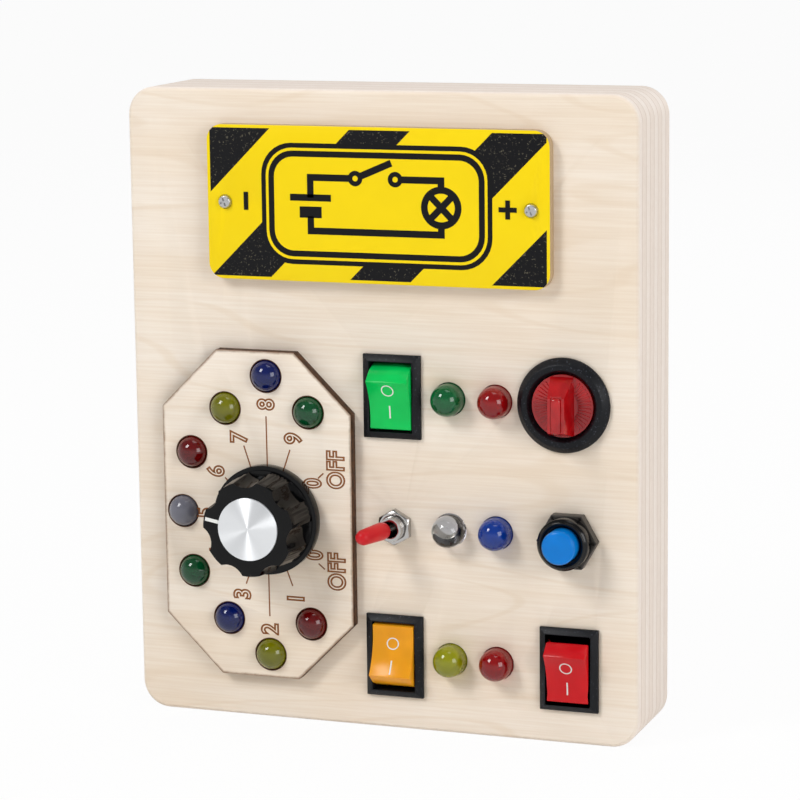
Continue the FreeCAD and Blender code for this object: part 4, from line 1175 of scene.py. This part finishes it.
# %% Pits in the button's nut
NUT_CORNERS = 6
PIT_RADIUS = 6.75 * MM
PIT_SIZE = (0.9, 0.9, 1.4)
nut = bpy.data.objects["button_nuts_eased"]
nut_low, nut_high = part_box("button_nuts")
NUT_X, NUT_Z = (nut_low.x + nut_high.x) / 2, (nut_low.z + nut_high.z) / 2


def from_nut_axis(point):
    """How far a point lies from the middle line of the nut."""
    return sqrt((point.x - NUT_X) ** 2 + (point.z - NUT_Z) ** 2)


front_points = [v.co for v in nut.data.vertices if v.co.y < nut_low.y + 3.0 * MM]
corner_reach = max(from_nut_axis(point) for point in front_points)
first = [point for point in front_points if from_nut_axis(point) > corner_reach - 0.02 * MM][0]
first_turn = atan2(first.z - NUT_Z, first.x - NUT_X)
for corner in range(NUT_CORNERS):
    angle = first_turn + corner * 2 * pi / NUT_CORNERS
    bpy.ops.mesh.primitive_cube_add(size=MM)
    punch = bpy.context.object
    punch.data.transform(Matrix.Rotation(angle + pi / 4, 4, "Z") @ Matrix.Diagonal((*PIT_SIZE, 1.0)))
    laid(punch, NUT_X + PIT_RADIUS * cos(angle), NUT_Z + PIT_RADIUS * sin(angle), nut_low.y)
    only(nut)
    pit = nut.modifiers.new("pit", "BOOLEAN")
    pit.operation = "DIFFERENCE"
    pit.solver = "EXACT"
    pit.object = punch
    bpy.ops.object.modifier_apply(modifier="pit")
    bpy.data.objects.remove(punch)
print("nut faces:", len(nut.data.polygons), "corner turn:", round(degrees(first_turn), 1))

# %% [markdown]
# The toggle's bushing is threaded. Its thread is finer than a pixel, so it is drawn as plain rings,
# one for each turn, between the nut and the chamfer at its end. One ring is made and copied.

# %% Thread rings on the toggle's bushing
THREAD_PITCH = 0.65 * MM
THREAD_RADIUS = 2.98 * MM
THREAD_ROUNDING = 0.13 * MM
thread_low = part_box("toggle_bushing")[0]
toggle_nut_low, toggle_nut_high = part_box("toggle_nut")
THREAD_X = (toggle_nut_low.x + toggle_nut_high.x) / 2
THREAD_Z = (toggle_nut_low.z + toggle_nut_high.z) / 2
thread_end = toggle_nut_low.y - 0.1 * MM
one_ring = torus(THREAD_RADIUS, THREAD_ROUNDING, 48, 8)
rings = []
depth = thread_low.y + 0.75 * MM
while depth < thread_end:
    rings.append(copy_of(one_ring, "ring"))
    rings[-1].data.transform(Matrix.Translation((THREAD_X, depth, THREAD_Z)))
    depth += THREAD_PITCH
bpy.data.objects.remove(one_ring)
print("thread rings:", len(rings))
settle(merged("toggle_thread", rings), body_of["toggle_bushing"], plated)

# %% [markdown]
# All screws here have heads with a cross recess. The cross is cut into the dressed heads with a
# boolean, as the punch that forms a real head would press it in. The screws of one piece are first
# taken apart, so that each gets its own cross, and then joined again.

# %% Cut the cross recesses
CROSS_TURN = 0.35


def cross_cut(name, width_mm, reach_mm, depth_mm):
    """Press a cross into every screw head of a dressed piece that faces the front or the back."""
    piece = bpy.data.objects[name + "_eased"]
    low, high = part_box(name)
    face = low.y if low.y < FRONT else high.y
    only(piece)
    bpy.ops.object.mode_set(mode="EDIT")
    bpy.ops.mesh.select_all(action="SELECT")
    bpy.ops.mesh.separate(type="LOOSE")
    bpy.ops.object.mode_set(mode="OBJECT")
    screws = [o for o in bpy.context.selected_objects if o.type == "MESH"]
    for screw in screws:
        corners = [screw.matrix_world @ Vector(c) for c in screw.bound_box]
        x = (corners[0].x + corners[6].x) / 2
        z = (corners[0].z + corners[6].z) / 2
        blades = []
        for turn in (CROSS_TURN, CROSS_TURN + QUARTER):
            bpy.ops.mesh.primitive_cube_add(size=MM)
            blade = bpy.context.object
            blade.data.transform(Matrix.Diagonal((reach_mm, width_mm, 2 * depth_mm, 1.0)))
            blades.append(laid(blade, x, z, face, turn))
        for blade in blades:
            only(screw)
            cut = screw.modifiers.new("cross", "BOOLEAN")
            cut.operation = "DIFFERENCE"
            cut.solver = "EXACT"
            cut.object = blade
            bpy.ops.object.modifier_apply(modifier="cross")
        for blade in blades:
            bpy.data.objects.remove(blade)
    merged(name + "_eased", [piece] + [o for o in screws if o != piece])
    print(name, "recessed heads:", len(screws))


cross_cut("sign_screws", 0.45, 2.2, 0.5)
cross_cut("cover_screws", 0.6, 3.0, 0.7)
cross_cut("battery_door_screws", 0.55, 2.6, 0.5)

# %% [markdown]
# The battery door is moulded with a shallow field of ribs, so that a thumb can hold it. One rib is
# a rounded bar, and its copies stand side by side near the middle of the door.

# %% Ribs on the battery door
RIB_COUNT = 7
RIB_PITCH = 2.6 * MM
RIB_SIZE = (1.1, 0.8, 12.0)
door_low, door_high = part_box("battery_door")
DOOR_X, DOOR_Z = (door_low.x + door_high.x) / 2, (door_low.z + door_high.z) / 2
bpy.ops.mesh.primitive_cube_add(size=MM)
one_rib = bpy.context.object
one_rib.data.transform(Matrix.Diagonal((*RIB_SIZE, 1.0)))
rounded(one_rib, 0.35, SHARP_ANGLE, 3)
ribs = []
for step in range(RIB_COUNT):
    rib = copy_of(one_rib, "rib")
    from_middle = (step - (RIB_COUNT - 1) / 2) * RIB_PITCH
    rib.data.transform(Matrix.Translation((DOOR_X + from_middle, door_high.y - 0.1 * MM, DOOR_Z)))
    ribs.append(rib)
bpy.data.objects.remove(one_rib)
print("ribs:", len(ribs), "on the door's back at y", round(door_high.y / MM, 2), "mm")
settle(merged("battery_door_ribs", ribs), body_of["battery_door"], grey_plastic)
